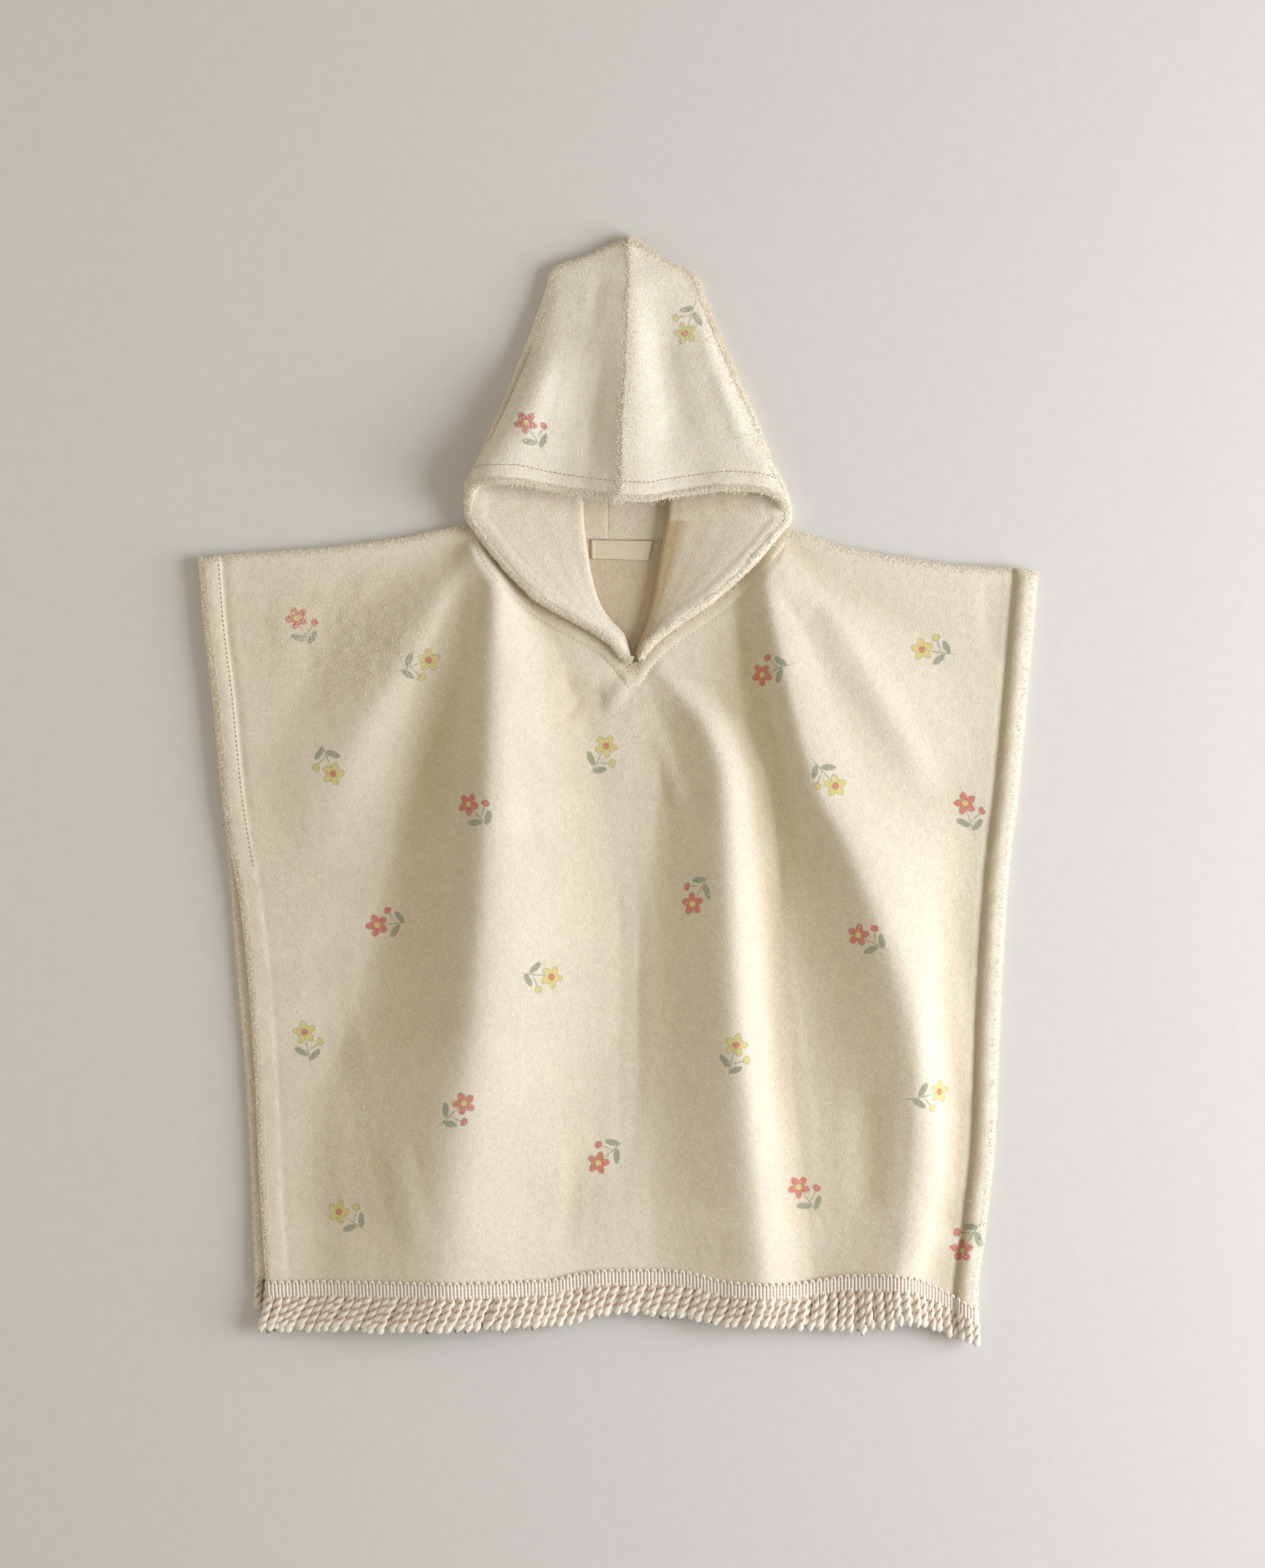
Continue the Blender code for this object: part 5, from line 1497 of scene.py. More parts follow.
# --- Hood -------------------------------------------------------------------------------------
@dataclass
class HoodHalf:
    """One half of the hood: floor, neck layer, inner face, rim and roof in one folded sheet."""

    side: Side
    printed: bpy.types.Material
    inner: bpy.types.Material
    arc_steps: int = 6
    neck_columns: int = 7
    face_columns: int = 20
    roof_columns: int = 46
    hem: tuple[float, ...] = (0.0, 0.0002, 0.0008, 0.0018, 0.003, 0.005, 0.008, 0.0105, 0.0125,
                              0.0145, 0.0155, 0.017)
    body_step: float = 0.0026
    arm_substeps: int = 9
    join_rows: int = 6
    edge_radius: float = 0.0024

    MOUTH = (0.0, 0.0025, 0.008, 0.0145, 0.017)
    MOUTH_RELIEF = (0.0, 0.0006, 0.0007, -0.0004, 0.0)
    CORNER = {Side.LEFT: 0.2211, Side.RIGHT: 0.2150}
    INNER_FOLD = {Side.LEFT: -0.0275, Side.RIGHT: 0.0380}
    SIDE_BULGE = 0.005
    BULGE_SHARE = 0.45
    FLOOR_SHARES = (0.0, 0.004, 0.012, 0.025, 0.10, 0.25, 0.45, 0.65, 0.85)
    FLOOR_SEAM = (0.62, 0.86, 0.97, 1.0)
    SEAM_RELIEF = {Side.LEFT: -0.0002, Side.RIGHT: 0.0003}
    UPPER_ROOF = {Side.LEFT: 0.300, Side.RIGHT: 0.340}
    UPPER_POWER = {Side.LEFT: 1.0, Side.RIGHT: 1.35}
    UPPER_ROOF_FADE = 0.050
    CORNER_SHARE = {Side.LEFT: 0.78, Side.RIGHT: 0.82}
    RIDGE_SHARE = 0.97
    ROOF = {
        Side.LEFT: ((0.0, 0.0), (0.06, 0.50), (0.13, 0.78), (0.22, 0.84), (0.42, 0.62),
                    (0.62, 0.42), (0.74, 0.44), (0.90, 0.76), (1.0, 1.0)),
        Side.RIGHT: ((0.0, 0.0), (0.08, 0.28), (0.17, 0.39), (0.32, 0.38), (0.50, 0.32),
                     (0.62, 0.38), (0.90, 0.94), (1.0, 1.0)),
    }
    CREASES = (
        Crease(-0.020, 0.300, -0.016, 0.240, 0.016, -0.0014),
        Crease(-0.052, 0.330, -0.072, 0.262, 0.014, 0.0010),
        Crease(0.030, 0.345, 0.046, 0.262, 0.018, -0.0012),
        Crease(0.074, 0.318, 0.098, 0.262, 0.014, 0.0012),
        Crease(-0.012, 0.392, -0.020, 0.352, 0.010, -0.0008),
    )
    SEAM_WANDER = 0.0009
    FACE_BOW = 0.25
    ARM_HEM_LIMIT = 1.25
    RIM_DROP = 0.0012
    RIM_DROP_START = 0.9
    TOP = 0.4175
    LAST_EVEN = 0.2720
    NORMAL_ROUNDS = 24
    # Distance from the rim that stands for far away from it.
    FAR = 1.0
    # Plug in the seam's end at the peak: how far in it lies, how high, its reach and radius.
    PLUG = (0.0022, 0.0047, 0.0034, 0.0026)
    JOINED = 1e-6

    def __post_init__(self) -> None:
        """Work out the sheet of points and its two faces."""
        self.sign = self.side.value
        self.levels = [Track(HOOD_LEVELS, 0, k) for k in range(1, 8)]
        self.lip = Track(LIP)
        self.outline = Track(HOOD_LEFT if self.side is Side.LEFT else HOOD_RIGHT)
        self.seam_top, self.seam_bottom = Track(SEAM_TOP), Track(SEAM_BOTTOM)
        self.first_arc = len(self.FLOOR_SHARES)
        self.neck_start = self.first_arc + self.arc_steps
        self.face_start = self.neck_start + self.neck_columns + self.arc_steps
        self.rim = self.face_start + self.face_columns + len(self.hem)
        self.roof_start = self.rim + self.arc_steps
        self.columns = self.roof_start + self.roof_columns + 1
        self._lay_out()
        self._raise()

    def _arc(self, radius: float, low: float, high: float) -> list[tuple[float, float]]:
        """Steps round a fold after its start: how far in from it, and how high."""
        turns = [math.pi * i / self.arc_steps for i in range(1, self.arc_steps + 1)]
        return [(radius * (1 - math.sin(t)), mix(low, high, (1 - math.cos(t)) / 2)) for t in turns]

    def _face_shares(self, reach: float, scale: float = 1.0) -> Array:
        """Space the inner face's columns.

        Args:
            reach: width of the face.
            scale: of its hem.

        Returns:
            Their distances from the rim, from the fold out.
        """
        hem = np.array(self.hem[::-1]) * scale
        far = max(reach, hem[0] * 1.02)
        body = np.linspace(far, hem[0], self.face_columns + 2)[1:-1]
        return np.concatenate((body, hem))

    def _bowed(self, away: float) -> float:
        """Rise of the inner face at a share of its width away from the rim."""
        share = 1 - min(away, 1.0)
        return share * (1 + self.FACE_BOW * (1 - share))

    def _closed_row(self, y: float, lip_share: float, lip_distance: float) -> Array:
        """One row above the mouth.

        Args:
            y: of the row at the hood's side.
            lip_share: how far its roof follows the lip instead of running level.
            lip_distance: from the lip, where the roof follows it.

        Returns:
            The row's points, from the seam on the floor to the seam on top.
        """
        seam, fold, inner, rim, corner, _, pleated = (float(track(y)) for track in self.levels)
        low = self.CORNER_SHARE[self.side]
        rim, corner = mix(inner, rim, low), mix(FLOOR_LAYER, corner, low)
        inward = -self.sign
        out = float(self.outline(y)) + inward * TERRY / 2
        half = (corner - FLOOR_LAYER) / 2
        level = self.LAST_EVEN if lip_share > 0 else y
        seam_y = mix(level, float(self.lip(LIP_CENTRE)) + lip_distance, lip_share)
        seam_top = float(self.seam_top(seam_y)) - self.sign * SEAM_LAP
        ridge = float(self.levels[5](seam_y)) * self.RIDGE_SHARE
        bulge = min(half, self.SIDE_BULGE, abs(seam_top - out) * self.BULGE_SHARE)

        def on_side(depth: float, z: float) -> tuple[float, float]:
            """Point between a plain round side and a full pleat.

            Args:
                depth: in from the hood's side, for a full pleat.
                z: height.

            Returns:
                x and z.
            """
            up = min(max((z - FLOOR_LAYER - half) / half, -1.0), 1.0)
            plain = bulge * (1 - math.sqrt(1 - up * up))
            return out + inward * mix(plain, depth, pleated), z

        fold_radius, inner_radius = (seam - FLOOR_LAYER) / 2, (inner - fold) / 2
        corner_radius = (corner - rim) / 2
        deep = abs(self.INNER_FOLD[self.side] - out) - inner_radius
        section = [on_side(fold_radius, FLOOR_LAYER)]
        section += [on_side(d, z) for d, z in self._arc(fold_radius, FLOOR_LAYER, seam)]
        for i in range(1, self.neck_columns + 1):
            share = i / self.neck_columns
            section.append(on_side(mix(fold_radius, deep, share), mix(seam, fold, share)))
        for d, z in self._arc(inner_radius, fold, inner):
            section.append(on_side(deep + inner_radius - d, z))
        reach = deep - corner_radius
        for distance in self._face_shares(reach):
            z = mix(inner, rim, self._bowed(distance / reach))
            section.append(on_side(corner_radius + distance, z))
        section += [on_side(d, z) for d, z in self._arc(corner_radius, rim, corner)]
        seam_floor = float(self.seam_bottom(y)) - self.sign * SEAM_LAP
        floor = [(mix(seam_floor, section[0][0], share), FLOOR_LAYER)
                 for share in self.FLOOR_SHARES]
        start = section[-1]
        t = np.arange(1, self.roof_columns + 1) / self.roof_columns
        upper = float(ease((y - self.UPPER_ROOF[self.side]) / self.UPPER_ROOF_FADE))
        rise = mix(Track(self.ROOF[self.side])(t), t ** self.UPPER_POWER[self.side], 0.85 * upper)
        roof_x = mix(start[0], seam_top, t)
        roof_y = mix(level, self.lip(roof_x) + lip_distance, lip_share)
        head = np.array([(x, y, z) for x, z in floor + section])
        roof_z = mix(start[1], ridge, rise)
        calm = ease(t / 0.15) * ease((1 - t) / 0.08) * ease((self.TOP - y) / 0.04)
        relief = sum(crease.raise_at(roof_x, roof_y) for crease in self.CREASES)
        relief = relief + 0.0007 * SoftNoise(57, 0.026)(roof_x, roof_y)
        wander = self.SEAM_WANDER * SoftNoise(59, 0.030)(roof_y, roof_y * 0) * t**4
        wander = wander * ease((self.TOP - y) / 0.03)
        roof = np.stack((roof_x + wander, roof_y, roof_z + calm * relief), axis=1)
        return np.concatenate((head, roof))

    def _arm_row(self, arm: Array) -> tuple[Array, float, Array]:
        """One row of an arm, from the neck seam round the inner fold to the rim.

        Args:
            arm: the seven numbers of the arm's table at this place.

        Returns:
            The points, the scale of the hem here, and their distances from the rim.
        """
        seam_z, fold_z, inner_z = (HOOD_LEVELS[-1][k] for k in (1, 2, 3))
        seam, rim, fold = arm[0:2], arm[2:4], arm[5:7]
        away = unit(fold - rim)
        fold = fold - away * TERRY / 2
        radius = (inner_z - fold_z) / 2
        turn = fold - away * radius
        points, gaps = [(*seam, seam_z)], [1.0]
        for i in range(1, self.neck_columns + 1):
            share = i / self.neck_columns
            points.append((*mix(seam, turn, share), mix(seam_z, fold_z, share)))
            gaps.append(1.0)
        for depth, z in self._arc(radius, fold_z, inner_z):
            points.append((*(fold - away * depth), z))
            gaps.append(1.0)
        face = float(np.linalg.norm(turn - rim))
        scale = min(1.0, face / (self.MOUTH[-1] * self.ARM_HEM_LIMIT))
        for distance in self._face_shares(face, scale):
            share = 1 - min(distance / face, 1.0)
            drop = self.RIM_DROP * max(0.0, share - self.RIM_DROP_START)
            drop = drop / (1 - self.RIM_DROP_START)
            z = mix(inner_z, float(arm[4]), self._bowed(distance / face)) - drop
            points.append((*mix(turn, rim, share), z))
            gaps.append(distance)
        return np.array(points), scale, np.array(gaps)

    def _lay_out(self) -> None:
        """Stack the rows, from the peak over the mouth down the arm."""
        corner, hem = self.CORNER[self.side], self.hem[-1]
        even = int(round((self.TOP - self.LAST_EVEN) / self.body_step))
        plan = [(y, 0.0, hem) for y in np.linspace(self.TOP, self.LAST_EVEN, even + 1)]
        down = int(round((self.LAST_EVEN - corner - hem) / self.body_step))
        plan += [(mix(self.LAST_EVEN, corner + hem, k / down), k / down, hem)
                 for k in range(1, down)]
        plan += [(corner + d, 1.0, d) for d in self.hem[::-1]]
        rows = [self._closed_row(*entry) for entry in plan]
        far = self.FAR
        gaps = [np.full(self.columns, far) for _ in plan]
        scales = [1.0] * len(plan)
        self.lip_row = len(rows) - 1
        across = np.full(self.columns, far)
        across[self.rim - len(self.hem) + 1:self.rim + 1] = self.hem[::-1]
        across[self.rim:] = 0.0
        for r in range(self.lip_row - len(self.hem) + 1, self.lip_row + 1):
            gaps[r] = np.hypot(plan[r][2], across)
        arms = ARM_LEFT if self.side is Side.LEFT else ARM_RIGHT
        tracks = [Track([(i, row[k]) for i, row in enumerate(arms)]) for k in range(7)]
        steps = (len(arms) - 1) * self.arm_substeps
        arm_rows = []
        low = self.CORNER_SHARE[self.side]
        for t in np.linspace(0, len(arms) - 1, steps + 1):
            arm = np.array([float(track(t)) for track in tracks])
            arm[4] = mix(arm[4] * low, arm[4], min(t / 3, 1.0))
            points, scale, gap = self._arm_row(arm)
            pad = self.columns - 1 - self.rim
            row = np.concatenate((np.repeat(points[:1], self.neck_start, axis=0), points,
                                  np.repeat(points[-1:], pad, axis=0)))
            arm_rows.append((row, scale, np.concatenate((
                np.full(self.neck_start, far), gap, np.zeros(pad)))))
        self._back_neck(arm_rows[0][0], arms[0])
        first, last = arm_rows[0], rows[-1]
        for k in range(1, self.join_rows):
            share = k / self.join_rows
            rows.append(mix(last, first[0], share))
            gap = np.full(self.columns, far)
            gap[:self.rim + 1] = mix(across[:self.rim + 1], first[2][:self.rim + 1], share)
            gap[self.face_start:self.rim + 1 - len(self.hem)] = far
            gaps.append(gap)
            scales.append(1.0)
        self.neck_row = len(rows)
        for row, scale, gap in arm_rows:
            rows.append(row)
            gaps.append(gap)
            scales.append(scale)
        self.sheet, self.gap = np.array(rows), np.array(gaps)
        self.hem_scale = np.array(scales)[:, None]

    def _back_neck(self, row: Array, arm: Sequence[float]) -> None:
        """Lay the floor layer's last row along the back neck seam.

        Args:
            row: the row, which is changed.
            arm: first row of the arm's table.
        """
        level = HOOD_LEVELS[-1][1]
        radius = (level - FLOOR_LAYER) / 2
        inward = -self.sign
        start = arm[0] + inward * radius
        seam = SEAM_BOTTOM[-1][1] - self.sign * SEAM_LAP
        neck = Track(BACK_NECK)
        for c, share in enumerate((*self.FLOOR_SHARES, 1.0)):
            row[c] = (mix(seam, start, share), float(neck(mix(seam, arm[0], share))), FLOOR_LAYER)
        for c, (depth, z) in enumerate(self._arc(radius, FLOOR_LAYER, level)):
            row[self.first_arc + 1 + c] = (arm[0] + inward * depth, arm[1], z)

    def _raise(self) -> None:
        """Give the sheet its two faces, round at the mouth and along its seams."""
        rows, columns = self.sheet.shape[:2]
        quads = grid_quads(rows, columns)
        r, c = quads[:, 0] // columns, quads[:, 0] % columns
        keep = np.where(c >= self.rim, r < self.lip_row, np.where(
            c < self.neck_start, r < self.neck_row, True))
        quads = quads[keep]
        if self.side is Side.RIGHT:
            quads = quads[:, ::-1]
        self.quads = quads
        flat = self.sheet.reshape(-1, 3)
        faces = np.cross(flat[quads[:, 2]] - flat[quads[:, 0]],
                         flat[quads[:, 3]] - flat[quads[:, 1]])
        normals = np.zeros_like(flat)
        for k in range(4):
            np.add.at(normals, quads[:, k], faces)
        normals = unit(normals).reshape(self.sheet.shape)
        normals[:, 0] = (0, 0, -1)
        normals[self.neck_row, :self.neck_start + 1, 1] = 0.0
        normals[self.neck_row + 1:, self.neck_start] = (0, 0, 1)
        normals[:self.neck_row, -1, 0] = 0.0
        arm = np.s_[self.neck_row:, self.face_start - 1:self.rim - 2]
        for _ in range(self.NORMAL_ROUNDS):
            near = (normals[self.neck_row:, self.face_start - 2:self.rim - 3]
                    + normals[self.neck_row:, self.face_start:self.rim - 1])
            normals[arm] = normals[arm] / 2 + near / 4
        normals = unit(normals)
        hem_gap = self.gap / self.hem_scale
        relief = Track(list(zip(self.MOUTH, self.MOUTH_RELIEF)))(hem_gap) * self.hem_scale**2
        share = rounded(self.gap, self.edge_radius)
        x, y = self.sheet[..., 0], self.sheet[..., 1]
        seam_gap = np.abs(x - self.seam_top(y))
        on_roof = np.arange(columns)[None] >= self.roof_start
        share = np.where(on_roof, np.minimum(share, rounded(seam_gap + 0.0016, 0.0030)), share)
        ridge = on_roof * bump(seam_gap / 0.0045) * ease((self.TOP - y) / 0.02)
        share[:self.neck_row, :len(self.FLOOR_SEAM)] = self.FLOOR_SEAM
        nap = 0.00008 * SoftNoise(53, 0.0045)(x, y)
        half = (TERRY / 2 + relief / 2) * share
        lift = nap + self.SEAM_RELIEF[self.side] * ridge
        self.outer = self.sheet + normals * (half + lift * share)[..., None]
        self.under = self.sheet - normals * half[..., None]
        self.outer[..., 2] = np.maximum(self.outer[..., 2], 0.0)
        self.normals = normals

    def shade_tones(self) -> Array:
        """Work out each point's painted shade: ochre deep inside the hood, where the inner face or
        the roof turns from the key light, and in the roof's hollows; the hidden floor layer takes
        a flat tone.

        Returns:
            A share from 0 to 1 for each point.
        """
        c = np.arange(self.columns)[None]
        inside = (c >= self.neck_start) & (c <= self.rim)
        deep = ease((self.gap - 0.004) / 0.06) * (c >= self.face_start - self.arc_steps)
        face = 0.04 + 0.18 * deep + 0.85 * painted_turn_shade(-self.normals)
        roof = 0.15 * hollows(self.outer, 7, 0.004) + 0.15 * painted_turn_shade(self.normals)
        tone = np.where(inside, face, np.where(c < self.neck_start, 0.2, roof))
        return np.clip(tone, 0, 1).ravel()

    def _prints(self) -> tuple[Array, Array]:
        """Print the roof, and nothing else of the sheet.

        Returns:
            The print's places and kinds for each point.
        """
        rows, columns = self.sheet.shape[:2]
        prints = sprig_values(self.outer[:, self.roof_start:], HOOD_SPRIGS[self.side])
        place, kind = np.zeros((rows, columns, 3)), np.zeros((rows, columns))
        place[:, self.roof_start:] = prints["print_place"].reshape(rows, -1, 3)
        kind[:, self.roof_start:] = prints["print_kind"].reshape(rows, -1)
        return place.reshape(-1, 3), kind.ravel()

    def _rim_faces(self, numbers: Array) -> list[list[int]]:
        """Close the sheet along its open edges.

        Args:
            numbers: for each point of the outer face, the number of the one under it.

        Returns:
            The faces between the two.
        """
        edges = dict.fromkeys((a, b) for quad in self.quads.tolist()
                              for a, b in zip(quad, quad[1:] + quad[:1]))
        rim = [[b, a, int(numbers[a]), int(numbers[b])] for a, b in edges if (b, a) not in edges]
        rim = [list(dict.fromkeys(face)) for face in rim]
        return [face for face in rim if len(face) > 2]

    def _add_plug(self, draft: Draft) -> None:
        """Fill the seam's end at the peak with the turned-in end of its allowance.

        Args:
            draft: of this half.
        """
        inset, height, reach, radius = self.PLUG
        seam = float(self.seam_top(self.TOP))
        path = [(seam + self.sign * reach * share, self.TOP - inset, height)
                for share in (0.0, 0.5, 1.0)]
        draft.add_tubes(np.array([path]), radius, 10, 0.3)

    def build(self) -> bpy.types.Object:
        """Make this half's mesh.

        Returns:
            The object.
        """
        outer, under = self.outer.reshape(-1, 3), self.under.reshape(-1, 3)
        count = len(outer)
        joined = np.linalg.norm(outer - under, axis=1) < self.JOINED
        numbers = np.where(joined, np.arange(count), np.arange(count) + count)
        inner_faces = numbers[self.quads][:, ::-1]
        used = sorted(set(self.quads.ravel().tolist()) | set(inner_faces.ravel().tolist()))
        renumber = np.full(2 * count, -1)
        renumber[used] = np.arange(len(used))
        place, kind = self._prints()
        draft = Draft()
        draft.add(np.concatenate((outer, under))[used], renumber[self.quads], 0,
                  tone=np.tile(self.shade_tones(), 2)[used],
                  print_place=np.concatenate((place, place * 0))[used],
                  print_kind=np.tile(kind, 2)[used])
        draft.join(renumber[inner_faces].tolist(), 1)
        draft.join([renumber[face].tolist() for face in self._rim_faces(numbers)], 0)
        self._add_plug(draft)
        return draft.piece(f"hood_{self.side.name.lower()}_terry", (self.printed, self.inner))


@dataclass
class MouthRoll:
    """The rolled hem round the mouth of the hood: up one arm, over the lip, down the other."""

    printed: bpy.types.Material
    halves: Sequence[HoodHalf]
    step: float = 0.0011
    sides: int = 16
    arm_width: float = 0.0038
    arm_foot: float = 0.0064
    arm_cover: float = 0.0021
    lip_radius: float = 0.0023
    lip_inset: float = 0.0029
    turn_length: float = 0.030
    taper: float = 0.012

    LEFT_END = (0.0096, 0.1010, 0.0136)
    PATH_ROUNDS = 14
    # Height as a share of the roll's radius, seed and cell of each of its ripples.
    RIPPLES = ((0.10, 91, 0.009), (0.06, 92, 0.0035))
    RIPPLE_TURN = 0.004

    def __post_init__(self) -> None:
        """Follow the rim and lay the roll's rings along it."""
        left, right = (self._rim(half) for half in self.halves)
        path = np.concatenate((left, right[::-1]))
        lengths = lengths_along(path)
        corners = [lengths[len(left) - 1 - self.lip_points],
                   lengths[len(left) + self.lip_points]]
        at = np.arange(0, lengths[-1], self.step)
        path = points_at(path, lengths, at)
        for _ in range(self.PATH_ROUNDS):
            path[1:-1] = (path[:-2] + 2 * path[1:-1] + path[2:]) / 4
        on_lip = ease((at - corners[0]) / self.turn_length)
        on_lip = on_lip * ease((corners[1] - at) / self.turn_length)
        ends = ease(np.minimum(at, lengths[-1] - at) / self.taper)
        top = path[:, 2] + self.arm_cover
        arm_height = (top - self.arm_foot) / 2
        high = mix(arm_height, self.lip_radius, on_lip) * mix(0.72, 1.0, ends)
        wide = mix(self.arm_width, self.lip_radius, on_lip) * mix(0.6, 1.0, ends)
        along = unit(np.gradient(path * (1, 1, 0), axis=0))
        aside = np.stack((-along[:, 1], along[:, 0], 0 * at), axis=1)
        centre = path + aside * (self.lip_inset * on_lip)[:, None]
        centre[:, 2] = mix((top + self.arm_foot) / 2, path[:, 2], on_lip)
        turn = 2 * math.pi * np.arange(self.sides) / self.sides
        ripple, round_it = 1, turn[None] * self.RIPPLE_TURN
        for height, seed, cell in self.RIPPLES:
            ripple = ripple + height * SoftNoise(seed, cell)(at[:, None], round_it)
        around = (np.cos(turn)[None] * ripple * wide[:, None],
                  np.sin(turn)[None] * ripple * high[:, None])
        self.rings = (centre[:, None] + aside[:, None] * around[0][..., None]
                      + UP * around[1][..., None])
        self.ways = unit(self.rings - centre[:, None])

    def _rim(self, half: HoodHalf) -> Array:
        """Follow one half's rim.

        Args:
            half: of the hood.

        Returns:
            Its points, from the V up the arm and along the lip to the centre.
        """
        arm = half.sheet[half.lip_row:, half.rim][::-1]
        lip = half.sheet[half.lip_row, half.rim:]
        self.lip_points = len(lip) - 1
        if half.side is Side.LEFT:
            arm = np.concatenate(([self.LEFT_END], arm))
        return np.concatenate((arm, lip[1:]))

    def build(self) -> bpy.types.Object:
        """Make the roll's mesh.

        Returns:
            The object.
        """
        steps = len(self.rings)
        step, side = np.meshgrid(np.arange(steps - 1), np.arange(self.sides), indexing="ij")
        a, b = step * self.sides + side, step * self.sides + (side + 1) % self.sides
        faces = np.stack((a, a + self.sides, b + self.sides, b), axis=-1).reshape(-1, 4).tolist()
        faces.append(list(range(self.sides)))
        faces.append([(steps - 1) * self.sides + k for k in reversed(range(self.sides))])
        draft = Draft()
        draft.add(self.rings, faces, 0, tone=0.05)
        return draft.piece("mouth_roll", (self.printed,))


# --- Fringe -----------------------------------------------------------------------------------
@dataclass(frozen=True)
class StrandRow:
    """One row of strands: place of the first in strands, depth below the heading, fineness."""

    first: float
    drop: float
    steps: int
    sides: int
    seed: int


@dataclass
class BullionFringe:
    """Woven heading with twisted loops that hang from it."""

    name: str
    top: Array
    bottom: Array
    gap: float
    lean: Track
    tips: Track
    rest: float
    yarn: bpy.types.Material
    strand_rows: tuple[StrandRow, ...] = (StrandRow(0.5, 0.0, 24, 8, 5),
                                          StrandRow(1.0, 0.0017, 14, 6, 6))
    ply_radius: float = 0.00212
    ply_offset: float = 0.00118
    groove_reach: float = 0.0024
    twist_pitch: float = 0.0155
    droop: float = 0.35
    flatten: float = 0.70
    heading_shows: bool = True

    HANG = 0.0022  # how far above the heading's lower edge a strand starts
    TIP_REACH = 0.020
    TIP_ROUND = 0.0012
    # Uneven hang: of the slant, of the tips and of the strands' bow.
    SLANT_SPREAD = 0.035
    TIP_SPREAD = 0.0009
    BOW_SPREAD = 0.0008
    # Painted shade in the grooves between the plies, and on the heading's base where it shows
    # between the ribs.
    GROOVE_SHADE = 0.80
    HEADING_SHADE = 0.45
    SHOWN_COLUMNS = 209
    PLAIN_COLUMNS = 60
    # Share of the heading's depth at which each weft thread lies, and its waves' start.
    WEFTS = ((0.26, 0.0), (0.52, math.pi), (0.78, 0.0))
    WEFT_RADIUS = 0.00038
    WEFT_WAVE = 0.0004
    # Radius and flatness of the ribs' legs and of the scallops' loops.
    LEG = (0.00100, 0.6)
    SCALLOP = (0.00090, 0.8)
    SCALLOP_RISE = 0.0013

    def _row_at(self, row: Array, shares: Array) -> Array:
        """Points at shares of a row's length."""
        lengths = lengths_along(row)
        return points_at(row, lengths, np.asarray(shares) * lengths[-1])

    def _strands(self, draft: Draft, row: StrandRow) -> None:
        """Twist two plies along each strand and close them in a loop at its tip.

        Args:
            draft: of the fringe.
            row: of strands.
        """
        rng = np.random.default_rng(row.seed)
        shares = np.arange(row.first, STRANDS) / STRANDS
        count = len(shares)
        hung = np.array((0, self.HANG, self.gap + HEADING_THICK / 2 - row.drop))
        root = self._row_at(self.bottom, shares) + hung
        slant = self.lean(root[:, 0])
        tip_y = self.tips(root[:, 0] - slant * self.TIP_REACH) + row.drop
        slant = slant + rng.normal(0, self.SLANT_SPREAD, count)
        tip_y = tip_y + rng.normal(0, self.TIP_SPREAD, count)
        tip_x = root[:, 0] - slant * (root[:, 1] - tip_y)
        rest = max(self.rest - row.drop, self.ply_radius * self.flatten)
        rise = np.maximum(root[:, 2] - rest, 0.0) * (1 - self.droop)
        low, high = rest + rise, np.maximum(root[:, 2], rest)
        half = np.linspace(0, 1, row.steps) ** 0.92
        s = np.concatenate((half, half[-2::-1]))
        ply = np.concatenate((np.zeros(row.steps), np.full(row.steps - 1, math.pi)))
        bow = rng.normal(0, self.BOW_SPREAD, count)[:, None] * np.sin(math.pi * s)[None]
        x = mix(root[:, :1], tip_x[:, None], s[None]) + bow
        y = mix(root[:, 1:2], tip_y[:, None] + self.TIP_ROUND, s[None])
        z = mix(high[:, None], low[:, None], ease(s)[None])
        core = np.stack((x, y, z), axis=-1)
        length = np.hypot(tip_x - root[:, 0], tip_y - root[:, 1])
        turn = rng.uniform(0, 2 * math.pi, count)[:, None]
        pitch = self.twist_pitch * rng.uniform(0.93, 1.08, count)
        phase = turn + 2 * math.pi * s[None] * (length / pitch)[:, None] + ply[None]
        knob = 1 + 0.22 * bump((s - 0.86) / 0.16)
        spread = self.ply_offset * knob * np.sqrt(1 - ((s - 0.80) / 0.20).clip(0, 1) ** 2)
        spread = spread * mix(0.45, 1.0, ease(s / 0.16))
        across = unit(np.stack((root[:, 1] - tip_y, tip_x - root[:, 0]), axis=1))
        x = x + across[:, :1] * np.cos(phase) * spread[None]
        y = y + across[:, 1:] * np.cos(phase) * spread[None]
        z = z + np.sin(phase) * spread[None] * self.flatten
        radius = self.ply_radius * mix(0.6, 1.0, ease(s / 0.14))
        radius = radius * rng.uniform(0.95, 1.04, (count, 1))
        z = np.maximum(z, radius * self.flatten + 0.00005)
        points, faces = tubes(np.stack((x, y, z), axis=-1), radius, row.sides, self.flatten)
        rings = points.reshape(count, len(s), row.sides, 3)
        from_core = np.linalg.norm(rings - core[:, :, None], axis=-1)
        # Painted shade in the grooves between the plies, fading out at the root and the tip.
        groove = ease((self.groove_reach - from_core) / (self.groove_reach * 0.35))
        inside = ease(s / 0.12) * ease((0.88 - s) / 0.12)
        tone = self.GROOVE_SHADE * groove * inside[None, :, None]
        draft.add(points, faces, 0, tone=tone.ravel())

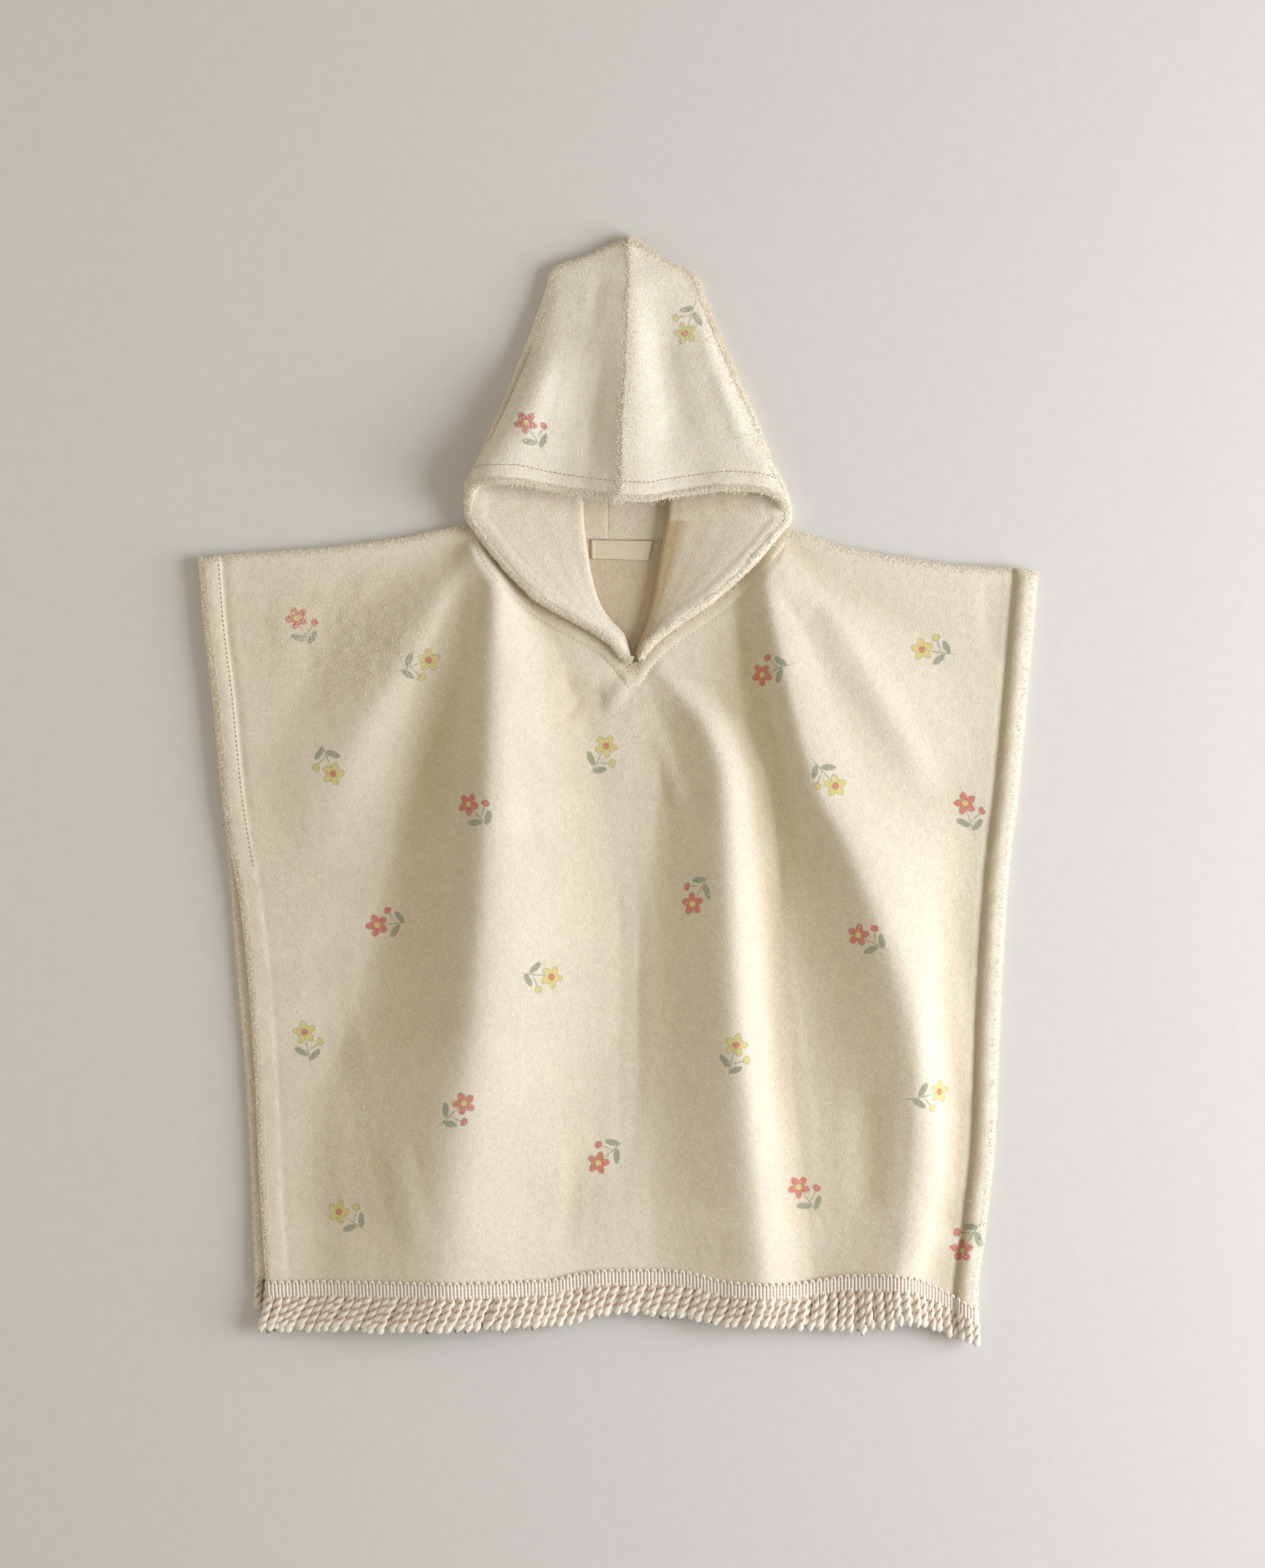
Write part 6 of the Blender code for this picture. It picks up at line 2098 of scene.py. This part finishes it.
    def _heading(self, draft: Draft) -> None:
        """Add the strip that carries the strands: a base with ribs, weft threads and scallops.

        Args:
            draft: of the fringe.
        """
        columns = self.SHOWN_COLUMNS if self.heading_shows else self.PLAIN_COLUMNS
        shares = np.linspace(0, 1, columns)
        upper, lower = self._row_at(self.top, shares), self._row_at(self.bottom, shares)
        lift = np.array((0, 0, self.gap))
        thick = np.array((0, 0, HEADING_THICK * 0.75 if self.heading_shows else HEADING_THICK))
        across = np.linspace(0, 1, 5)[:, None, None]
        face = mix(upper[None], lower[None], across) + lift
        ring = np.concatenate((face + thick, face[::-1]))
        count = len(ring)
        r, c = np.meshgrid(np.arange(count), np.arange(columns - 1), indexing="ij")
        a, b = (r * columns + c).ravel(), (((r + 1) % count) * columns + c).ravel()
        faces = np.stack((a, b, b + 1, a + 1), axis=1).tolist()
        faces.append([k * columns for k in reversed(range(count))])
        faces.append([k * columns + columns - 1 for k in range(count)])
        # The base strip takes painted shade, which shows between the ribs.
        draft.add(ring, faces, 0, tone=self.HEADING_SHADE)
        if not self.heading_shows:
            return
        self._ribs(draft, upper + lift, lower + lift)
        for share, start in self.WEFTS:
            line = mix(upper, lower, share) + lift
            fine = self._row_at(line, np.linspace(0, 1, 2 * columns - 1))
            waves = np.cos(np.arange(len(fine)) * math.pi / 2 + start)
            fine[:, 2] += HEADING_THICK * 0.80 + self.WEFT_WAVE * waves
            draft.add_tubes(fine[None], self.WEFT_RADIUS, 4, 0.1)

    def _ribs(self, draft: Draft, upper: Array, lower: Array) -> None:
        """Stand pairs of yarn that turn over in a scallop along the heading's top.

        Args:
            draft: of the fringe.
            upper: points along the heading's top.
            lower: points along its foot.
        """
        height = np.array((0, 0, HEADING_THICK * 0.62))
        legs = mix(lower[:, None], upper[:, None], np.linspace(0, 1, 5)[None, :, None]) + height
        legs[..., 2] += 0.0002 + np.sin(np.linspace(0, math.pi, 5)) * 0.0003
        draft.add_tubes(legs, self.LEG[0], 6, 0.0, self.LEG[1])
        pairs = np.arange(0, len(upper) - 1, 2)
        a, b = upper[pairs], upper[pairs + 1]
        t = np.linspace(0, 1, 7)[None, :, None]
        loops = mix(a[:, None], b[:, None], t) + height
        loops[..., 1] += self.SCALLOP_RISE * np.sin(math.pi * t[..., 0])
        loops[..., 2] += 0.0003
        draft.add_tubes(loops, self.SCALLOP[0], 6, 0.0, self.SCALLOP[1])

    def build(self) -> bpy.types.Object:
        """Make the fringe's mesh.

        Returns:
            The object.
        """
        draft = Draft()
        self._heading(draft)
        for row in self.strand_rows:
            self._strands(draft, row)
        return draft.piece(self.name, (self.yarn,))


# --- Label, stitches, fuzz --------------------------------------------------------------------
@dataclass
class NeckLabel:
    """Bare woven label, sewn in under the back neck seam, with its short ends turned in."""

    ribbon: bpy.types.Material
    low: float = TERRY + SEAM_GAP
    thick: float = 0.0009
    columns: int = 48
    rows: int = 16
    width: float = 0.047
    depth: float = 0.0155
    edge_radius: float = 0.0006
    sag: float = 0.0005
    rib: float = 0.00004

    def build(self) -> bpy.types.Object:
        """Make the label's mesh.

        Returns:
            The object.
        """
        a, b, c, d = (np.array((x, y, 0.0)) for x, y in LABEL_CORNERS)
        u = np.linspace(0, 1, self.columns)[None, :, None]
        v = np.linspace(0, 1, self.rows)[:, None, None]
        face = mix(mix(a, b, u), mix(d, c, u), v)
        u, v = u[..., 0] + 0 * v[..., 0], v[..., 0] + 0 * u[..., 0]
        ends = ease((0.07 - np.minimum(u, 1 - u)) / 0.02)
        ribs = self.rib * np.sin(np.arange(self.rows) * math.pi)[:, None]
        thick = self.thick * (0.62 + 0.38 * ends) + ribs
        edge = np.minimum(np.minimum(u, 1 - u) * self.width, np.minimum(v, 1 - v) * self.depth)
        share = rounded(edge, self.edge_radius)
        sag = self.sag * np.sin(u * math.pi) * np.sin(v * math.pi)
        top, low = face.copy(), face.copy()
        top[..., 2] = self.low + thick * (1 + share) / 2 + sag * 0.3
        low[..., 2] = self.low + thick * (1 - share) / 2
        draft = Draft()
        quads = grid_quads(self.rows, self.columns)
        count = self.rows * self.columns
        rim = rim_numbers(self.rows, self.columns)
        numbers = np.array([k if k in rim else k + count for k in range(count)])
        faces = quads.tolist() + numbers[quads][:, ::-1].tolist()
        draft.add(np.concatenate((top, low)), faces, 0, tone=0.1)
        return draft.piece("label_ribbon", (self.ribbon,))


@dataclass
class StitchLine:
    """Run of lockstitches along a line on the cloth."""

    path: Array
    length: float = 0.0026
    gap: float = 0.0009
    radius: float = 0.00034
    sink: float = 0.0001
    tone: float = 0.3
    arch: float = 0.00045

    def add_to(self, draft: Draft) -> None:
        """Add the stitches, each a short bowed thread that dips at its ends.

        Args:
            draft: of the piece that takes them.
        """
        lengths = lengths_along(self.path)
        starts = np.arange(0, lengths[-1] - self.length, self.length + self.gap)
        t = np.linspace(0, 1, 5)
        paths = points_at(self.path, lengths, starts[:, None] + t[None] * self.length)
        paths[..., 2] += self.arch * np.sin(math.pi * t)[None] - self.sink
        radii = self.radius * (0.55 + 0.45 * np.sin(math.pi * t))[None].repeat(len(starts), 0)
        draft.add_tubes(paths, radii, 5, self.tone)


@dataclass
class Fuzz:
    """Loose fibres that stand out of the cloth's edges and here and there out of its face."""

    seed: int
    length: tuple[float, float] = (0.0008, 0.0018)
    width: float = 0.00072
    stand: float = 0.4

    def add_to(self, draft: Draft, roots: Array, ways: Array, count: int,
               weights: Array | None = None, scatter: float = 0.0012) -> None:
        """Stand fibres near some points of a cloth.

        Args:
            draft: of the piece that takes the fibres.
            roots: points on the cloth.
            ways: the way out of the cloth at each.
            count: how many fibres.
            weights: how likely each point is to get one; all alike if left out.
            scatter: how far a fibre may be from its point.
        """
        rng = np.random.default_rng(self.seed)
        chance = None if weights is None else weights / weights.sum()
        pick = rng.choice(len(roots), count, p=chance)
        lengths = rng.uniform(*self.length, count)
        widths = self.width * rng.uniform(0.7, 1.2, count)
        normal = unit(ways[pick])
        offset = rng.normal(0, 1, (count, 3)) * scatter
        offset -= normal * np.sum(offset * normal, axis=1, keepdims=True)
        foot = roots[pick] + offset - normal * 0.0001
        lean = unit(rng.normal(0, 1, (count, 3)))
        ways = unit(lean - normal * np.sum(lean * normal, axis=1, keepdims=True))
        ways = ways + normal * self.stand * rng.uniform(0.5, 1.5, (count, 1))
        tops = UP + 0.6 * normal
        points, faces = flat_tufts(foot, ways, tops, lengths, widths)
        points[:, 2] = np.maximum(points[:, 2], 0.0001)
        draft.add(points, faces, 0, tone=np.repeat(rng.uniform(0, 0.5, count), 4))


# --- Stage ------------------------------------------------------------------------------------
@dataclass
class Studio:
    """Camera straight above, a soft light from the right, a card on the left, a pale floor."""

    image: tuple[int, int] = (1736, 2151)
    metres_per_pixel: float = 0.00055
    height: float = 3.0
    aim: tuple[float, float] = (0.0107, 0.0055)
    sensor: float = 36.0
    key_place: tuple[float, float, float] = (2.10, -0.15, 0.95)
    key_size: float = 1.6
    key_power: float = 76.0
    key_colour: str = "#F1F5FF"
    card_place: tuple[float, float, float] = (-2.0, 0.25, 0.75)
    card_size: float = 1.8
    card_power: float = 10.0
    card_colour: str = "#F8F4EA"
    fill_colour: str = "#FCF6E8"
    fill_strength: float = 0.375
    floor_colour: str = "#DEDAD5"
    floor_half: float = 6.0

    def build(self) -> None:
        """Put up camera, lights and floor."""
        scene = bpy.context.scene
        scene.view_settings.view_transform = "Standard"
        camera = bpy.data.cameras.new("camera")
        camera.sensor_width = self.sensor
        camera.lens = self.sensor * self.height / (self.image[1] * self.metres_per_pixel)
        camera.clip_end = 20.0
        eye = bpy.data.objects.new("camera", camera)
        eye.location = (*self.aim, self.height)
        scene.collection.objects.link(eye)
        scene.camera = eye
        self._light("key", self.key_place, self.key_size, self.key_power, self.key_colour)
        self._light("card", self.card_place, self.card_size, self.card_power, self.card_colour)
        world = bpy.data.worlds.new("studio")
        world.use_nodes = True
        background = world.node_tree.nodes["Background"]
        background.inputs["Color"].default_value = linear(self.fill_colour)
        background.inputs["Strength"].default_value = self.fill_strength
        scene.world = world
        self._floor()

    @staticmethod
    def _light(name: str, place: tuple[float, float, float], size: float, power: float,
               colour: str) -> None:
        """Hang a soft square light and turn it to the cloth.

        Args:
            name: of the light.
            place: of its middle.
            size: of its sides.
            power: in watts.
            colour: as "#RRGGBB".
        """
        lamp = bpy.data.lights.new(name, "AREA")
        lamp.shape, lamp.size = "SQUARE", size
        lamp.energy = power
        lamp.color = linear(colour)[:3]
        holder = bpy.data.objects.new(name, lamp)
        holder.location = place
        way = Vector((0.0, 0.0, 0.0)) - holder.location
        holder.rotation_euler = way.to_track_quat("-Z", "Y").to_euler()
        bpy.context.scene.collection.objects.link(holder)

    def _floor(self) -> None:
        """Lay a seamless pale floor, painted board with the faintest mottling."""
        half = self.floor_half
        mesh = bpy.data.meshes.new("floor")
        corners = [(-half, -half, 0), (half, -half, 0), (half, half, 0), (-half, half, 0)]
        mesh.from_pydata(corners, [], [(0, 1, 2, 3)])
        made, tree, shader, place = start_material("painted board", {
            "Roughness": 0.9, "Specular IOR Level": 0.1})
        shade = remap(tree, noise_node(tree, place, 90.0, Detail=3.0), 0.3, 0.7, 0.985, 1.015)
        colour = scaled(tree, linear(self.floor_colour)[:3], shade)
        tree.links.new(colour, shader.inputs["Base Color"])
        mesh.materials.append(made)
        floor = bpy.data.objects.new("floor", mesh)
        bpy.context.scene.collection.objects.link(floor)


# --- Poncho -----------------------------------------------------------------------------------
class Poncho:
    """The whole poncho, piece by piece."""

    # How far the front's strands rest above the back's, and half the height of a strand.
    FRINGE_STEP = 0.0046
    STRAND_HALF = 0.0024

    def __init__(self) -> None:
        """Make the finishes."""
        self.printed = TerryFinish(SHEARED_TERRY).material()
        self.looped = TerryFinish(LOOPED_TERRY).material()
        self.bullion = BULLION_COTTON.material()
        self.thread = SEWING_THREAD.material()
        self.ribbon = LABEL_RIBBON.material()
        self.fibres = LOOSE_FIBRES.material()

    def build(self) -> None:
        """Build every piece."""
        self.front = FrontPanel(self.printed, self.looped)
        self.back = BackPanel(self.printed, self.looped)
        self.halves = [HoodHalf(side, self.printed, self.looped) for side in Side]
        front = dress(self.front.build(), Slot.TERRY, "front")
        back = dress(self.back.build(), Slot.TERRY, "back")
        hoods = [dress(half.build(), Slot.TERRY, node)
                 for half, node in zip(self.halves, ("hood_left", "hood_right"))]
        fringes = self._fringes()
        self.roll = MouthRoll(self.printed, self.halves)
        roll = dress(self.roll.build(), Slot.TERRY)
        label = dress(NeckLabel(self.ribbon).build(), Slot.LABEL, "label")
        stitches = self._stitches()
        fuzz = self._fuzz()

    def _fringes(self) -> list[bpy.types.Object]:
        """Make the fringes of the front and the back.

        Returns:
            Their objects, the front's first.
        """
        front, back = self.front, self.back
        foot, rest = len(front.foot), self.STRAND_HALF
        upper = BullionFringe(
            "fringe_front_bullion", front.outer[-foot], self._lower_line(front), HEADING_GAP,
            Track(FRONT_LEAN), Track(FRONT_TIPS), self.FRINGE_STEP + rest, self.bullion)
        foot = len(back.foot)
        floor = np.array((1, 1, 0))
        lower = BullionFringe(
            "fringe_back_bullion", back.under[-foot] * floor, back.under[-1] * floor, 0.0,
            Track(BACK_LEAN), Track(BACK_TIPS), rest, self.bullion,
            strand_rows=(StrandRow(0.5, 0.0, 15, 6, 9),), heading_shows=False)
        return [dress(upper.build(), Slot.COTTON, "fringe_front"),
                dress(lower.build(), Slot.COTTON, "fringe_back")]

    @staticmethod
    def _lower_line(front: FrontPanel) -> Array:
        """Follow the front's face along its lower edge, as if the edge weren't rounded.

        Args:
            front: the panel.

        Returns:
            The line's points.
        """
        line = front.outer[-len(front.foot)].copy()
        line[:, :2] = front.outer[-1][:, :2]
        return line

    def _stitches(self) -> list[bpy.types.Object]:
        """Sew the side hems, the neckline and the hood's lip.

        Returns:
            The front's stitches and the hood's.
        """
        front = self.front
        at = front.hem_steps.index(0.0148)
        draft = Draft()
        flat = int(np.argmin(np.abs(front.y[:, at] - front.LEFT_ROLL_END)))
        for column, end, tone in ((at, flat, 0.45), (-1 - at, -len(front.foot), 0.6)):
            StitchLine(front.outer[3:end, column], tone=tone).add_to(draft)
        first, last = front.neck_columns
        row = front.band.index(0.0125)
        StitchLine(front.outer[row, first:last + 1], tone=0.2, sink=0.0003).add_to(draft)
        sewn = [dress(draft.piece("front_stitches", (self.thread,)), Slot.COTTON)]
        draft = Draft()
        for half in self.halves:
            row = half.lip_row - half.hem.index(0.0145)
            line = half.outer[row, half.roof_start:]
            StitchLine(line, tone=0.6).add_to(draft)
        sewn.append(dress(draft.piece("hood_stitches", (self.thread,)), Slot.COTTON))
        return sewn

    def _fuzz(self) -> list[bpy.types.Object]:
        """Stand loose fibres on the edges, seams and faces.

        Returns:
            The pile of the front, of the back, of the hood's halves and of its mouth.
        """
        front, back, draft = self.front, self.back, Draft()
        for columns, sign, count in ((slice(0, 6), -1, 9000), (slice(-5, None), 1, 5000)):
            roots = front.outer[:, columns].reshape(-1, 3)
            ways = front.normals[:, columns].reshape(-1, 3) * 0.8 + np.array((sign * 1.0, 0, 0))
            Fuzz(61 + sign, (0.0008, 0.0020), stand=1.2).add_to(draft, roots, ways, count)
        roots = front.outer[:5].reshape(-1, 3)
        ways = front.normals[:5].reshape(-1, 3) + np.array((0, 0.6, 0))
        Fuzz(67, stand=1.0).add_to(draft, roots, ways, 4500)
        inside = (slice(5, -8), slice(5, -5))
        roots, ways = (grid[inside].reshape(-1, 3) for grid in (front.outer, front.normals))
        weights = 0.02 + front.ruffled()[inside].ravel() ** 2
        Fuzz(71, (0.0007, 0.0016)).add_to(draft, roots, ways, 18000, weights, 0.002)
        made = [self._pile(draft, "front_pile")]
        draft = Draft()
        for columns, sign in ((slice(0, 5), -1), (slice(-5, None), 1)):
            roots = back.outer[:, columns].reshape(-1, 3)
            ways = np.zeros_like(roots) + np.array((sign, 0, 0.5))
            Fuzz(73 + sign, stand=1.2).add_to(draft, roots, ways, 6000)
        made.append(self._pile(draft, "back_pile"))
        return made + [self._hood_fuzz(half) for half in self.halves] + [self._mouth_fuzz()]

    def _pile(self, draft: Draft, name: str) -> bpy.types.Object:
        """Make a piece of loose fibres, flat-shaded."""
        return dress(draft.piece(name, (self.fibres,), smooth=False), Slot.TERRY)

    def _hood_fuzz(self, half: HoodHalf) -> bpy.types.Object:
        """Stand loose fibres on one half of the hood.

        Args:
            half: of the hood.

        Returns:
            The object.
        """
        draft, rows = Draft(), slice(0, half.lip_row + 1)
        blocks = (
            (rows, slice(half.rim, half.roof_start + 3), 5000, 0.0012, 0.9),
            (rows, slice(half.columns - 3, half.columns), 1600, 0.0014, 0.5),
            (slice(0, 3), slice(half.neck_start, None), 1500, 0.001, 1.0),
            (rows, slice(half.roof_start, None), 7000, 0.0015, 0.3),
        )
        for number, (r, c, count, scatter, stand) in enumerate(blocks):
            roots, ways = half.outer[r, c].reshape(-1, 3), half.normals[r, c].reshape(-1, 3)
            Fuzz(81 + number, stand=stand).add_to(draft, roots, ways, count, None, scatter)
        return self._pile(draft, f"hood_{half.side.name.lower()}_pile")

    def _mouth_fuzz(self) -> bpy.types.Object:
        """Stand loose fibres on the rolled hem of the mouth.

        Returns:
            The object.
        """
        draft = Draft()
        roots, ways = self.roll.rings.reshape(-1, 3), self.roll.ways.reshape(-1, 3)
        weights = ease(ways[:, 2] + 0.7) + 0.05
        Fuzz(95, (0.0008, 0.0020), stand=0.6).add_to(draft, roots, ways, 24000, weights, 0.0007)
        return self._pile(draft, "mouth_pile")


def main() -> None:
    """Build the studio and the poncho."""
    logging.basicConfig(level=logging.INFO, format="%(message)s")
    Studio().build()
    Poncho().build()


if __name__ == "__main__":
    main()
